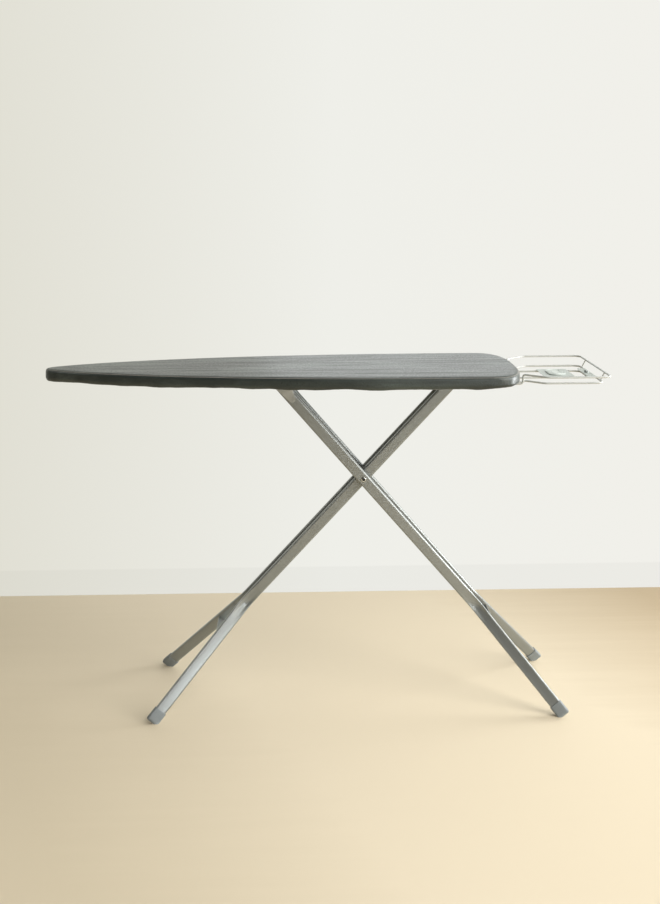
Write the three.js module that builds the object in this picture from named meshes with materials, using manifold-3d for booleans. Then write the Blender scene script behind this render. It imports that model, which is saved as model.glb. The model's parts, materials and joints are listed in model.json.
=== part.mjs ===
// Folding ironing board on a steel scissor frame, with a wire iron rest at its square end.
// Millimetres, +Z up. The origin is on the floor under the middle of the whole length:
// +X runs towards the iron rest, -Y is the side where the user stands.

import * as THREE from 'three';
import { mergeVertices } from 'three/addons/utils/BufferGeometryUtils.js';
import Module from 'manifold-3d';

const wasm = await Module();
wasm.setup();

// Driving dimensions of the whole board
const boardLength = 1220;
const boardWidth = 389;
const boardTop = 920;
const restReach = 215;
const pivotShare = 0.6746;
const pivotHeight = 623;
const outerLegAngle = THREE.MathUtils.degToRad(49.5);
const innerLegAngle = THREE.MathUtils.degToRad(47.6);
const footSpread = 365;

// Clearances shared by all pieces
const seatGap = 0.3;
const runGap = 0.6;
const slideSlack = 1.5;
const cutOver = 5;
const mergeDistance = 0.0003;

// Layers of the board, from the top down
const coverThick = 1.2;
const coverRound = 9;
const hemWidth = 30;
const padThick = 5;
const deckThick = 1.2;
const deckInset = 4;
const rimHeight = 19;
const rimWidth = 15;
const rimWall = 1.5;

// Outline of the board
const straightLength = 220;
const taperLength = boardLength - straightLength;
const noseBlend = 60;
const noseBlunt = 20;
const noseLead = 28;
const tailCap = 100;

// Vent holes of the deck
const ventRadius = 12;
const ventPitchX = 74;
const ventPitchY = 46;
const ventEdge = 30;

// Leg tubes
const tubeDepth = 30;
const tubeWidth = 15;
const tubeWall = 1.3;
const tubeRound = 4.5;
const tubeTopOver = 12;
const outerSpacing = 72.6;
const innerSpacing = 37.4;
const bendDistance = 470;
const bendRadius = 90;
const dentLength = 68;
const dentHeight = 20;
const dentDeep = 5;

// Foot caps
const capLength = 38;
const capWall = 2;
const capRound = 5;
const capCorner = 7;
const capPocket = 25;
const capRise = 4;

// Ties between the two tubes of a leg
const outerTieBelowBend = 60;
const innerTieBelowBend = 110;
const tieThick = 3;
const tieHeight = 20;

// Pins and bars
const pinRadius = 4;
const pinClear = 0.3;
const pivotHeadRadius = 7;
const pivotHeadThick = 2.4;
const pivotDimpleRadius = 3;
const pivotDimpleFloor = 2.4;
const washerRadius = 9.8;
const pivotDimpleDeep = 1.4;
const nutRadius = 7.5;
const nutThick = 5;
const pinHeadRadius = 6.5;
const pinHeadThick = 2;

// Ears on the upper ends of the tubes
const earThick = 2.5;
const earRound = 9;
const earReach = 46;

// Folding clearances
const foldUnderHem = 8;
const barOverTube = 1.5;

// Rails
const railThick = 2;
const railFlange = 11;
const railGap = 0.6;
const railBelowAxis = 13;
const railEndSlope = 16;
const railTailReach = 30;
const railNoseReach = 24;

// Slide shoes
const shoeLength = 22;
const shoeHeight = 11.4;
const shoeFlangeHeight = 17;
const shoeFlangeThick = 2.5;

// Crossbars and stays
const crossWidth = 24;
const crossHeight = 15;
const crossWall = 1.5;
const tailBarFromTail = 53;
const noseBarFromRod = 91;
const stayFromRod = 54;

// Height lock
const lockRodFromRail = 19;
const lockRodOverBar = 10;
const rodBracketThick = 3;
const rodBracketWidth = 14;
const rodBracketFoot = 14;
const rodBracketClear = 12;
const housingWidth = 26;
const housingBelow = 9;
const housingAbove = 17;
const housingRound = 2;
const housingCorner = 3.5;
const housingBehind = 12;
const housingAhead = 32;
const pocketFrom = 7;
const pocketTo = 27;
const pocketFloorWall = 3;
const leverThick = 3;
const leverRest = THREE.MathUtils.degToRad(8);
const leverFulcrum = 9;
const leverReach = 62;
const leverAt = 17.5;
const leverEye = 8.8;
const leverArmHeight = 4.4;
const nibWidth = 1.2;
const handleUnderHem = 2.4;
const handleHeight = 7.6;
const handleThick = 8;
const gripLength = 34;
const fingerBarLength = 49;
const springWire = 1.1;
const springTurns = 4;
const springLength = 7.4;

// Iron rest
const wireRadius = 2.5;
const postRadius = 2;
const restBend = 7;
const restCorner = 20;
const restTailIn = 66;
const lowRise = 3;
const highRise = 24;
const upperStart = 118;
const upperHalf = 166;
const upperFlare = 54;
const lowerStart = 92;
const lowerHalf = 130;
const lowerFlare = 43;
const lowerInset = 10;
const innerHalf = 47;
const innerInset = 31;
const riseRun = 12;
const postSpread = 97;
const plateFrom = 68;
const plateLength = 80;
const plateWidth = 112;
const plateThick = 1.6;
const plateRound = 6;
const padLong = 82;
const padWide = 44;
const heatPadThick = 2;
const stripWidth = 22;
const stripLength = 124;
const stripFromEnd = 11;
const bufferRadius = 4;
const bufferHeight = 5;
const bufferSpacing = 12;

// Clamps of the iron rest
const strapThick = 1.5;
const strapWidth = 20;
const strapOver = 9;
const screwRadius = 2.2;
const screwHeadRadius = 4.5;
const screwHeadEdge = 3.6;
const screwHeadThick = 2;
const screwOver = 4;

// Facet counts
const roundSegments = 3;
const softSegments = 2;
const chamferSegments = 1;
const circleSides = 16;
const holeSides = 12;
const smallSides = 10;
const beltSides = 12;
const ventSides = 8;
const wireSides = 8;
const nutSides = 6;
const springSides = 5;
const springSteps = 8;
const arcSegments = 2;
const wireBendSteps = 3;
const tubeBendSteps = 5;
const dentSides = 12;
const dentRings = 8;

// Heights worked out from the layers
const coverTop = boardTop;
const padTop = coverTop - coverThick - seatGap;
const padBottom = padTop - padThick;
const deckTop = padBottom - seatGap;
const deckBottom = deckTop - deckThick;
const rimTop = deckBottom - seatGap;
const rimBottom = rimTop - rimHeight;
const hemTop = rimBottom - seatGap;
const coverBottom = hemTop - coverThick;

const handleTop = coverBottom - handleUnderHem;

// Places along the length
const overallLength = boardLength + restReach;
const noseX = -overallLength / 2;
const tailX = noseX + boardLength;
const restEndX = tailX + restReach;
const pivotX = noseX + boardLength * pivotShare;

// Scissor geometry: the leg pins stand off the tube lines so that a folded leg lies under them
const pinOffset = tubeDepth / 2 + pinRadius + barOverTube;
const foldedAxisZ = coverBottom - foldUnderHem - tubeDepth / 2;
const pinHeight = foldedAxisZ + pinOffset;

// Widths across the frame
const outerTubeY = outerSpacing / 2;
const innerTubeY = innerSpacing / 2;
const outerEarY = outerTubeY + tubeWidth / 2 + seatGap + earThick / 2;
const innerEarY = innerTubeY - tubeWidth / 2 - seatGap - earThick / 2;
const railY = outerEarY + earThick / 2 + railGap + railThick / 2;

// Each leg's own plan: its arm above the pivot, its reach to the pin and its length down to the floor
function legPlan(letter, tubeY, earY, angle, upSide, tie) {
  const arm = (pinHeight - pivotHeight - pinOffset * Math.cos(angle)) / Math.sin(angle);
  const pinReach = arm * Math.cos(angle) - pinOffset * Math.sin(angle);
  const foot = pivotHeight / Math.sin(angle);
  const flare = Math.atan2(footSpread / 2 - tubeY, foot - bendDistance);
  return { letter, tubeY, earY, angle, upSide, tie, arm, pinReach, foot, flare };
}

const outerLeg = legPlan('a', outerTubeY, outerEarY, outerLegAngle, 1, bendDistance + outerTieBelowBend);
const innerLeg = legPlan('b', innerTubeY, innerEarY, innerLegAngle, -1, bendDistance + innerTieBelowBend);
const fixedPinX = pivotX + innerLeg.pinReach;
const slidePinX = pivotX - outerLeg.pinReach;
const slideFoldedX = fixedPinX - innerLeg.arm - outerLeg.arm;

// Materials
function finish(color, roughness, metalness) {
  return new THREE.MeshStandardMaterial({ color, roughness, metalness });
}
const coverFinish = () => finish(0x5f676d, 0.55, 0.1);
const feltFinish = () => finish(0x8d8a84, 0.95, 0);
const deckFinish = () => finish(0x9aa0a3, 0.5, 0.6);
const tubeFinish = () => finish(0xa3a8a6, 0.38, 0.7);
const zincFinish = () => finish(0xb5b8b8, 0.35, 0.85);
const capFinish = () => finish(0x8e959b, 0.6, 0);
const plasticFinish = () => finish(0x6f757a, 0.55, 0);
const wireFinish = () => finish(0xe9ece9, 0.4, 0.1);
const plateFinish = () => finish(0xcbd3cf, 0.45, 0.1);
const siliconeFinish = () => finish(0xd7dfdb, 0.7, 0);
const bufferFinish = () => finish(0x5b5f60, 0.8, 0);

// Boolean helpers on closed geometries
function toSolid(geometry) {
  const bare = geometry.clone();
  bare.deleteAttribute('normal');
  bare.deleteAttribute('uv');
  const merged = mergeVertices(bare, mergeDistance);
  const vertProperties = new Float32Array(merged.attributes.position.array);
  const triVerts = new Uint32Array(merged.index.array);
  return new wasm.Manifold(new wasm.Mesh({ numProp: 3, vertProperties, triVerts }));
}

function toGeometry(solid) {
  const mesh = solid.getMesh();
  const geometry = new THREE.BufferGeometry();
  geometry.setAttribute('position', new THREE.BufferAttribute(mesh.vertProperties, mesh.numProp));
  geometry.setIndex(new THREE.BufferAttribute(mesh.triVerts, 1));
  geometry.computeVertexNormals();
  return geometry;
}

function cut(geometry, ...cutters) {
  let solid = toSolid(geometry);
  for (const cutter of cutters) solid = solid.subtract(toSolid(cutter));
  return toGeometry(solid);
}

function join(geometry, ...others) {
  let solid = toSolid(geometry);
  for (const other of others) solid = solid.add(toSolid(other));
  return toGeometry(solid);
}

function keep(geometry, other) {
  return toGeometry(toSolid(geometry).intersect(toSolid(other)));
}

// Basic solids
function rodAlongY(radius, fromY, toY, segments = circleSides) {
  const rod = new THREE.CylinderGeometry(radius, radius, toY - fromY, segments);
  return rod.translate(0, (fromY + toY) / 2, 0);
}

function rodAlongX(radius, fromX, toX, segments = circleSides) {
  const rod = new THREE.CylinderGeometry(radius, radius, toX - fromX, segments);
  return rod.rotateZ(-Math.PI / 2).translate((fromX + toX) / 2, 0, 0);
}

function rodAlongZ(radius, fromZ, toZ, segments = circleSides) {
  const rod = new THREE.CylinderGeometry(radius, radius, toZ - fromZ, segments);
  return rod.rotateX(Math.PI / 2).translate(0, 0, (fromZ + toZ) / 2);
}

function box(fromX, toX, fromY, toY, fromZ, toZ) {
  const block = new THREE.BoxGeometry(toX - fromX, toY - fromY, toZ - fromZ);
  return block.translate((fromX + toX) / 2, (fromY + toY) / 2, (fromZ + toZ) / 2);
}

// The corners of a regular polygon that stands for a circle
function ringPoints(radius, sides, x = 0, y = 0) {
  const points = [];
  for (let step = 0; step < sides; step += 1) {
    const turn = (2 * Math.PI * step) / sides;
    points.push(new THREE.Vector2(x + radius * Math.cos(turn), y + radius * Math.sin(turn)));
  }
  return points;
}

// A plan outline given real thickness, its upper and lower edges rounded
function slab(shape, fromZ, toZ, round = 0, segments = roundSegments) {
  const settings = { depth: toZ - fromZ - 2 * round, bevelEnabled: round > 0, curveSegments: arcSegments };
  if (round > 0) {
    Object.assign(settings, {
      bevelThickness: round, bevelSize: round, bevelOffset: -round, bevelSegments: segments,
    });
  }
  return new THREE.ExtrudeGeometry(shape, settings).translate(0, 0, fromZ + round);
}

// A profile in the X-Z plane given a width along Y
function profileAlongY(shape, fromY, toY) {
  const settings = { depth: toY - fromY, bevelEnabled: false, curveSegments: arcSegments };
  return new THREE.ExtrudeGeometry(shape, settings).rotateX(Math.PI / 2).translate(0, toY, 0);
}

function polygon(points) {
  return new THREE.Shape(points.map(([x, y]) => new THREE.Vector2(x, y)));
}

function roundedRectangle(fromX, toX, fromY, toY, radius) {
  const shape = new THREE.Shape();
  shape.moveTo(fromX + radius, fromY);
  shape.lineTo(toX - radius, fromY);
  shape.absarc(toX - radius, fromY + radius, radius, -Math.PI / 2, 0);
  shape.lineTo(toX, toY - radius);
  shape.absarc(toX - radius, toY - radius, radius, 0, Math.PI / 2);
  shape.lineTo(fromX + radius, toY);
  shape.absarc(fromX + radius, toY - radius, radius, Math.PI / 2, Math.PI);
  shape.lineTo(fromX, fromY + radius);
  shape.absarc(fromX + radius, fromY + radius, radius, Math.PI, 1.5 * Math.PI);
  return shape;
}

// The outline that a belt would take round a set of discs
function beltOutline(discs) {
  const points = discs.flatMap(([x, y, radius]) => ringPoints(radius, beltSides, x, y));
  points.sort((a, b) => a.x - b.x || a.y - b.y);
  const crosses = (a, b, c) => (b.x - a.x) * (c.y - a.y) - (b.y - a.y) * (c.x - a.x);
  const side = (list) => {
    const chain = [];
    for (const point of list) {
      while (chain.length > 1 && crosses(chain.at(-2), chain.at(-1), point) <= 0) chain.pop();
      chain.push(point);
    }
    return chain.slice(0, -1);
  };
  return new THREE.Shape([...side(points), ...side([...points].reverse())]);
}

// Outline of the board: a blunt nose, a long taper and a square end with large soft corners
const taperPowerShare = 0.66;
const tailPowerShare = 2 / 2.9;
const taperSpacingPowerShare = 1.4;
const noseSteps = 5;
const taperSteps = 9;
const tailSteps = 7;

function taperWidth(fromNose) {
  const rest = 1 - fromNose / taperLength;
  return (boardWidth / 2) * Math.pow(1 - rest * rest, taperPowerShare);
}

function noseCurve() {
  const width = taperWidth(noseBlend);
  const slope = (taperWidth(noseBlend + seatGap) - width) / seatGap;
  return new THREE.CubicBezierCurve(
    new THREE.Vector2(0, 0),
    new THREE.Vector2(0, noseBlunt),
    new THREE.Vector2(noseBlend - noseLead, width - slope * noseLead),
    new THREE.Vector2(noseBlend, width),
  );
}

function halfOutline() {
  const points = noseCurve().getPoints(noseSteps);
  for (let step = 1; step <= taperSteps; step += 1) {
    const share = Math.pow(step / taperSteps, taperSpacingPowerShare);
    const fromNose = noseBlend + (taperLength - noseBlend) * share;
    points.push(new THREE.Vector2(fromNose, taperWidth(fromNose)));
  }
  for (let step = 0; step <= tailSteps; step += 1) {
    const turn = Math.PI / 2 * (1 - step / tailSteps);
    const along = Math.pow(Math.abs(Math.cos(turn)), tailPowerShare);
    const across = Math.pow(Math.abs(Math.sin(turn)), tailPowerShare);
    const x = boardLength - tailCap + tailCap * (step === 0 ? 0 : along);
    points.push(new THREE.Vector2(x, (boardWidth / 2) * (step === tailSteps ? 0 : across)));
  }
  return points;
}

function insetHalf(inset) {
  const base = halfOutline();
  const moved = base.map((point, index) => {
    const before = index > 0 ? base[index - 1] : new THREE.Vector2(point.x, -base[1].y);
    const after = index < base.length - 1 ? base[index + 1] : new THREE.Vector2(point.x, -base.at(-2).y);
    const along = new THREE.Vector2().subVectors(after, before).normalize();
    return new THREE.Vector2(point.x + along.y * inset, point.y - along.x * inset);
  });
  const kept = moved.filter((point, index) => point.y > seatGap || index === moved.length - 1);
  const tip = moved[0].x < kept[0].x && inset < noseBlunt ? [moved[0]] : [];
  return [...tip, ...kept].map((point) => new THREE.Vector2(point.x + noseX, Math.max(point.y, 0)));
}

function boardShape(inset) {
  const half = insetHalf(inset);
  const other = half.filter((point) => point.y > 0).map((point) => new THREE.Vector2(point.x, -point.y));
  return new THREE.Shape([...other, ...[...half].reverse()]);
}

function halfWidthAt(x, inset) {
  const half = insetHalf(inset);
  const after = half.findIndex((point) => point.x >= x);
  if (after < 1) return 0;
  const low = half[after - 1];
  const high = half[after];
  return low.y + ((high.y - low.y) * (x - low.x)) / (high.x - low.x);
}

// Soft layers
function coverGeometry() {
  const outer = slab(boardShape(0), coverBottom, coverTop, coverRound);
  const inner = slab(boardShape(coverThick), hemTop, coverTop - coverThick, coverRound - coverThick);
  const opening = slab(boardShape(hemWidth), coverBottom - cutOver, hemTop + cutOver);
  return cut(outer, inner, opening);
}

function padGeometry() {
  const inset = coverThick + seatGap;
  const round = coverRound - inset;
  const body = slab(boardShape(inset), padTop - 2 * round - padThick, padTop, round);
  return keep(body, box(noseX, tailX, -boardWidth, boardWidth, padBottom, coverTop));
}

// Steel deck with staggered vent holes, and the rim under its edge
function deckGeometry() {
  const shape = boardShape(deckInset);
  const rows = Math.floor(boardWidth / 2 / ventPitchY);
  const columns = Math.ceil(boardLength / ventPitchX);
  for (let row = -rows; row <= rows; row += 1) {
    for (let column = 0; column <= columns; column += 1) {
      const shift = row % 2 === 0 ? 0 : ventPitchX / 2;
      const x = noseX + ventEdge + shift + column * ventPitchX;
      const y = row * ventPitchY;
      const far = Math.max(Math.abs(x - ventRadius), Math.abs(x + ventRadius));
      const narrow = Math.min(halfWidthAt(x - ventRadius, ventEdge), halfWidthAt(x + ventRadius, ventEdge));
      if (far > tailX - ventEdge && x > 0) continue;
      if (Math.abs(y) + ventRadius > narrow) continue;
      shape.holes.push(new THREE.Path(ringPoints(ventRadius, ventSides, x, y)));
    }
  }
  return slab(shape, deckBottom, deckTop);
}

function rimGeometry() {
  const outside = coverThick + seatGap;
  const round = coverRound - outside;
  const body = slab(boardShape(outside), rimBottom, rimTop, round);
  const middle = slab(boardShape(outside + rimWidth), rimBottom - cutOver, rimTop + cutOver);
  const groove = slab(boardShape(outside + rimWall), rimBottom + rimWall, rimTop - rimWall,
    round - rimWall, chamferSegments);
  return cut(body, middle, groove);
}

// Crossbars and stays: open channels with a flat bottom
function channelShape(centreX, bottom) {
  const left = centreX - crossWidth / 2;
  const right = centreX + crossWidth / 2;
  const top = rimTop;
  return polygon([
    [left, bottom], [right, bottom], [right, top], [right - crossWall, top],
    [right - crossWall, bottom + crossWall], [left + crossWall, bottom + crossWall],
    [left + crossWall, top], [left, top],
  ]);
}

function channelHalfWidth(centreX) {
  const inset = coverThick + seatGap + rimWidth + seatGap;
  const near = halfWidthAt(centreX - crossWidth / 2, inset);
  return Math.min(near, halfWidthAt(centreX + crossWidth / 2, inset));
}

function crossbarGeometry(centreX, bottom) {
  const half = channelHalfWidth(centreX);
  return profileAlongY(channelShape(centreX, bottom), -half, half);
}

function stayGeometry(centreX, side) {
  const inner = railY + railThick / 2 + railFlange + seatGap;
  const outer = channelHalfWidth(centreX);
  const bottom = rimTop - crossHeight;
  if (side < 0) return profileAlongY(channelShape(centreX, bottom), -outer, -inner);
  return profileAlongY(channelShape(centreX, bottom), inner, outer);
}

// Slotted rails that carry the upper ends of the legs
const slotHalf = shoeHeight / 2 + slideSlack;
const slotTail = slidePinX + shoeLength / 2 + seatGap;
const slotNose = slideFoldedX - shoeLength / 2 - seatGap;

function slotShape() {
  return roundedRectangle(slotNose, slotTail, pinHeight - slotHalf, pinHeight + slotHalf, shoeHeight / 4);
}

function railGeometry(side) {
  const bottom = pinHeight - railBelowAxis;
  const nose = slotNose - railNoseReach;
  const tail = fixedPinX + railTailReach;
  const web = polygon([
    [nose + railEndSlope, bottom], [tail - railEndSlope, bottom], [tail, bottom + railEndSlope],
    [tail, rimTop], [nose, rimTop], [nose, bottom + railEndSlope],
  ]);
  web.holes.push(slotShape());
  web.holes.push(new THREE.Path(ringPoints(pinRadius + pinClear, holeSides, fixedPinX, pinHeight)));
  const inner = railY - railThick / 2;
  const outer = railY + railThick / 2;
  const flangeOuter = outer + railFlange;
  const nearY = side < 0 ? -outer : inner;
  const farY = side < 0 ? -inner : outer;
  const flange = side < 0
    ? box(nose, tail, -flangeOuter, -inner, rimTop - railThick, rimTop)
    : box(nose, tail, inner, flangeOuter, rimTop - railThick, rimTop);
  return join(profileAlongY(web, nearY, farY), flange);
}

// Leg tubes: a bent strip in plan, given the depth of the tube and rounded edges
function bentStrip(leg, side, halfWidth, over) {
  const { tubeY, flare } = leg;
  const lead = bendRadius * Math.tan(flare / 2);
  const stations = [[-leg.arm - tubeTopOver - over, tubeY, 0]];
  for (let step = 0; step <= tubeBendSteps; step += 1) {
    const turn = (flare * step) / tubeBendSteps;
    const x = bendDistance - lead + bendRadius * Math.sin(turn);
    stations.push([x, tubeY + bendRadius * (1 - Math.cos(turn)), turn]);
  }
  const solid = capRise + capLength - capPocket + seatGap;
  const run = (leg.foot - bendDistance) / Math.cos(flare) - solid + over;
  const endX = bendDistance + run * Math.cos(flare);
  stations.push([endX, tubeY + run * Math.sin(flare), flare]);
  const offset = (amount) => stations.map(([x, y, turn]) => (
    [x - amount * Math.sin(turn), side * (y + amount * Math.cos(turn))]
  ));
  return polygon([...offset(-halfWidth), ...offset(halfWidth).reverse()]);
}

// The outward face of the bend, where the press pinches the tube
function dentGeometry({ tubeY, flare }, side, wall) {
  const outward = bendRadius / Math.cos(flare / 2) - bendRadius + tubeWidth / 2;
  const dent = new THREE.SphereGeometry(1, dentSides, dentRings);
  dent.scale(dentLength / 2 + wall, dentDeep + wall, dentHeight / 2 + wall);
  dent.rotateZ((side * flare) / 2);
  const x = bendDistance - outward * Math.sin(flare / 2);
  return dent.translate(x, side * (tubeY + outward * Math.cos(flare / 2)), 0);
}

function tubeGeometry(leg, side) {
  const half = tubeDepth / 2;
  const tube = slab(bentStrip(leg, side, tubeWidth / 2, 0), -half, half, tubeRound, softSegments);
  const innerStrip = bentStrip(leg, side, tubeWidth / 2 - tubeWall, tubeDepth);
  const inside = slab(innerStrip, tubeWall - half, half - tubeWall, tubeRound - tubeWall, chamferSegments);
  const hollow = cut(inside, dentGeometry(leg, side, tubeWall));
  const reach = leg.tubeY + tubeWidth;
  const bore = rodAlongY(pinRadius + pinClear, -reach, reach, holeSides);
  return cut(tube, dentGeometry(leg, side, 0), hollow, bore);
}

// Foot caps: a rounded box on the tube's end with its sole cut flat on the floor
function capGeometry(leg, side, group) {
  const half = tubeWidth / 2 + capWall;
  const deep = tubeDepth / 2 + capWall;
  const body = slab(roundedRectangle(-capLength, 0, -half, half, capCorner), -deep, deep, capRound);
  const clear = tubeWidth / 2 + seatGap;
  const mouth = -capLength - capPocket;
  const seat = capPocket - capLength;
  const pocketShape = polygon([[mouth, -clear], [seat, -clear], [seat, clear], [mouth, clear]]);
  const pocketDeep = tubeDepth / 2 + seatGap;
  const pocket = slab(pocketShape, -pocketDeep, pocketDeep, tubeRound, softSegments);
  const reach = footSpread / 2;
  for (const piece of [body, pocket]) {
    piece.translate(-capRise, 0, 0).rotateZ(side * leg.flare).translate(leg.foot, side * reach, 0);
  }
  const floor = box(-overallLength, overallLength, -boardWidth, boardWidth, -boardTop, 0);
  group.updateMatrixWorld(true);
  floor.applyMatrix4(group.matrixWorld.clone().invert());
  return cut(body, pocket, floor);
}

// Ear plates on the upper ends of the tubes
function earGeometry({ arm, earY, upSide }, side) {
  const outline = beltOutline([
    [-arm, upSide * pinOffset, earRound],
    [-arm, -upSide * earRound / 2, earRound],
    [-arm + earReach, 0, earRound],
  ]);
  const eye = ringPoints(pinRadius + pinClear, holeSides, -arm, upSide * pinOffset);
  outline.holes.push(new THREE.Path(eye));
  return profileAlongY(outline, side * earY - earThick / 2, side * earY + earThick / 2);
}

// Flat tie between the splayed tubes of a leg
function tieGeometry({ tubeY, flare, tie }) {
  const clear = (tubeWidth / 2) / Math.cos(flare) + seatGap;
  const edge = (x) => tubeY + (x - bendDistance) * Math.tan(flare) - clear;
  const low = tie;
  const high = tie + tieThick;
  const shape = polygon([[low, -edge(low)], [high, -edge(high)], [high, edge(high)], [low, edge(low)]]);
  return slab(shape, -tieHeight / 2, tieHeight / 2);
}

// Pivot pieces
function washerGeometry(fromY, toY, outer) {
  const shape = new THREE.Shape(ringPoints(outer, circleSides));
  shape.holes.push(new THREE.Path(ringPoints(pinRadius + pinClear, holeSides)));
  return profileAlongY(shape, fromY, toY);
}

function pivotBoltGeometry() {
  const face = outerTubeY + tubeWidth / 2 + seatGap;
  const end = face + nutThick + seatGap + pinHeadThick;
  const head = pivotHeadThick;
  const profile = [
    [0, -end], [pinRadius, -end], [pinRadius, face], [pivotHeadRadius, face],
    [pivotHeadRadius, face + head / 3], [pivotHeadRadius - head / 2, face + head],
    [pivotDimpleRadius, face + head], [pivotDimpleFloor, face + head - pivotDimpleDeep],
    [0, face + head - pivotDimpleDeep],
  ];
  const points = profile.map(([radius, along]) => new THREE.Vector2(radius, along));
  return new THREE.LatheGeometry(points, circleSides).rotateX(Math.PI);
}

function pivotNutGeometry() {
  const face = outerTubeY + tubeWidth / 2 + seatGap;
  const nut = rodAlongY(nutRadius, face, face + nutThick, nutSides);
  return cut(nut, rodAlongY(pinRadius + pinClear, face - cutOver, face + nutThick + cutOver));
}

// Pin across both rails with a head at each end
function axleGeometry() {
  const reach = railY + railThick / 2 + seatGap;
  return join(
    rodAlongY(pinRadius, -reach, reach),
    rodAlongY(pinHeadRadius, -reach - pinHeadThick, -reach),
    rodAlongY(pinHeadRadius, reach, reach + pinHeadThick),
  );
}

// Sliding bar, headed behind the back shoe and held in the lock housing at the front
function slideBarGeometry() {
  const frontEnd = lockY - housingWidth / 2 + pocketFloorWall + seatGap;
  const backEnd = railY + railThick / 2 + 2 * seatGap + shoeFlangeThick;
  return join(
    rodAlongY(pinRadius, frontEnd, backEnd),
    rodAlongY(pinHeadRadius, backEnd, backEnd + pinHeadThick),
  );
}

// Slide shoes
function shoeGeometry(side) {
  const inner = railY - railThick / 2 - railGap / 2;
  const webOuter = railY + railThick / 2 + seatGap;
  const flangeOuter = webOuter + shoeFlangeThick;
  const half = shoeLength / 2;
  const body = roundedRectangle(-half, half, -shoeHeight / 2, shoeHeight / 2, shoeHeight / 4);
  const skirt = roundedRectangle(-half, half, -shoeFlangeHeight / 2, shoeFlangeHeight / 2, shoeHeight / 4);
  const solid = join(profileAlongY(body, inner, flangeOuter), profileAlongY(skirt, webOuter, flangeOuter));
  const bored = cut(solid, rodAlongY(pinRadius + pinClear, inner - cutOver, flangeOuter + cutOver));
  if (side < 0) bored.rotateZ(Math.PI);
  return bored;
}

// Height lock
const lockY = -(railY + railThick / 2 + lockRodFromRail);
const lockZ = pinHeight + lockRodOverBar;
const rodNoseX = slideFoldedX - housingBehind - rodBracketClear;
const rodTailX = slidePinX + housingAhead + rodBracketClear;

function rodBracketGeometry(innerX, away) {
  const outerX = innerX + away * rodBracketThick;
  const footX = innerX + away * rodBracketFoot;
  const near = lockY - rodBracketWidth / 2;
  const far = lockY + rodBracketWidth / 2;
  const low = lockZ - pinRadius - rodBracketThick;
  const plate = box(Math.min(innerX, outerX), Math.max(innerX, outerX), near, far, low, rimTop);
  const foot = box(Math.min(innerX, footX), Math.max(innerX, footX), near, far, rimTop - railThick, rimTop);
  const bore = rodAlongX(pinRadius + pinClear, -overallLength, overallLength);
  return cut(join(plate, foot), bore.translate(0, lockY, lockZ));
}

function housingGeometry() {
  const near = lockY - housingWidth / 2;
  const far = lockY + housingWidth / 2;
  const low = -housingBelow;
  const high = housingAbove;
  const plan = roundedRectangle(-housingBehind, housingAhead, near, far, housingCorner);
  const body = slab(plan, low, high, housingRound, softSegments);
  const fingerPlan = roundedRectangle(-housingBehind, handleThick - housingBehind,
    near - fingerBarLength, near + housingCorner * 2, housingCorner);
  const fingerTop = handleTop - pinHeight;
  const finger = slab(fingerPlan, fingerTop - handleHeight, fingerTop, housingRound, softSegments);
  const pocketEnd = lockY + leverFulcrum + runGap;
  const pocket = cut(
    box(pocketFrom, pocketTo, near - cutOver, pocketEnd, low - cutOver, high + cutOver),
    box(leverAt + leverThick / 2 + seatGap, pocketTo + cutOver, pocketEnd - runGap - nibWidth,
      pocketEnd + cutOver, low - 2 * cutOver, high + 2 * cutOver),
  );
  const rodBore = rodAlongX(pinRadius + slideSlack, -housingBehind - cutOver, housingAhead + cutOver);
  rodBore.translate(0, lockY, lockRodOverBar);
  const barBore = rodAlongY(pinRadius + pinClear, near + pocketFloorWall, far + cutOver);
  return cut(join(body, finger), pocket, rodBore, barBore);
}

function lockSpringCurve() {
  const radius = pinRadius + slideSlack + springWire;
  const curve = new THREE.Curve();
  curve.getPoint = (share, target = new THREE.Vector3()) => {
    const turn = 2 * Math.PI * springTurns * share;
    return target.set(springLength * share, radius * Math.cos(turn), radius * Math.sin(turn));
  };
  return curve;
}

function springGeometry() {
  const section = new THREE.Shape(ringPoints(springWire / 2, springSides));
  const steps = springTurns * springSteps;
  const spring = new THREE.ExtrudeGeometry(section, {
    steps, bevelEnabled: false, extrudePath: lockSpringCurve(),
  });
  const leastGap = springLength / springTurns - springWire;
  console.log(`lock spring: least gap between turns ${leastGap.toFixed(2)} mm`);
  return spring;
}

function leverGeometry() {
  const armTop = handleTop - lockZ - (handleHeight - leverArmHeight) / 2;
  const armBottom = armTop - leverArmHeight;
  const plate = polygon([
    [-leverReach, armBottom], [-leverEye, armBottom], [leverFulcrum, -leverEye], [leverFulcrum, leverEye],
    [-leverEye, leverEye], [-leverEye - leverArmHeight, armTop], [-leverReach, armTop],
  ]);
  const lever = slab(plate, -leverThick / 2, leverThick / 2);
  lever.rotateX(Math.PI / 2).rotateZ(Math.PI / 2);
  const slack = leverThick * Math.tan(leverRest) + slideSlack;
  const bore = rodAlongX(pinRadius + pinClear + slack, -cutOver, cutOver);
  return cut(lever, bore);
}

function gripGeometry() {
  const half = handleThick / 2;
  const near = -leverReach - housingRound;
  const top = handleTop - lockZ;
  const plan = roundedRectangle(-half, half, near, near + gripLength, housingCorner);
  const body = slab(plan, top - handleHeight, top, housingRound, softSegments);
  const slotHalf = leverThick / 2 + seatGap;
  const slotEdge = (handleHeight - leverArmHeight) / 2 - seatGap;
  const slot = box(-slotHalf, slotHalf, -leverReach - seatGap, near + gripLength + cutOver,
    top - handleHeight + slotEdge, top - slotEdge);
  return cut(body, slot);
}

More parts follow.
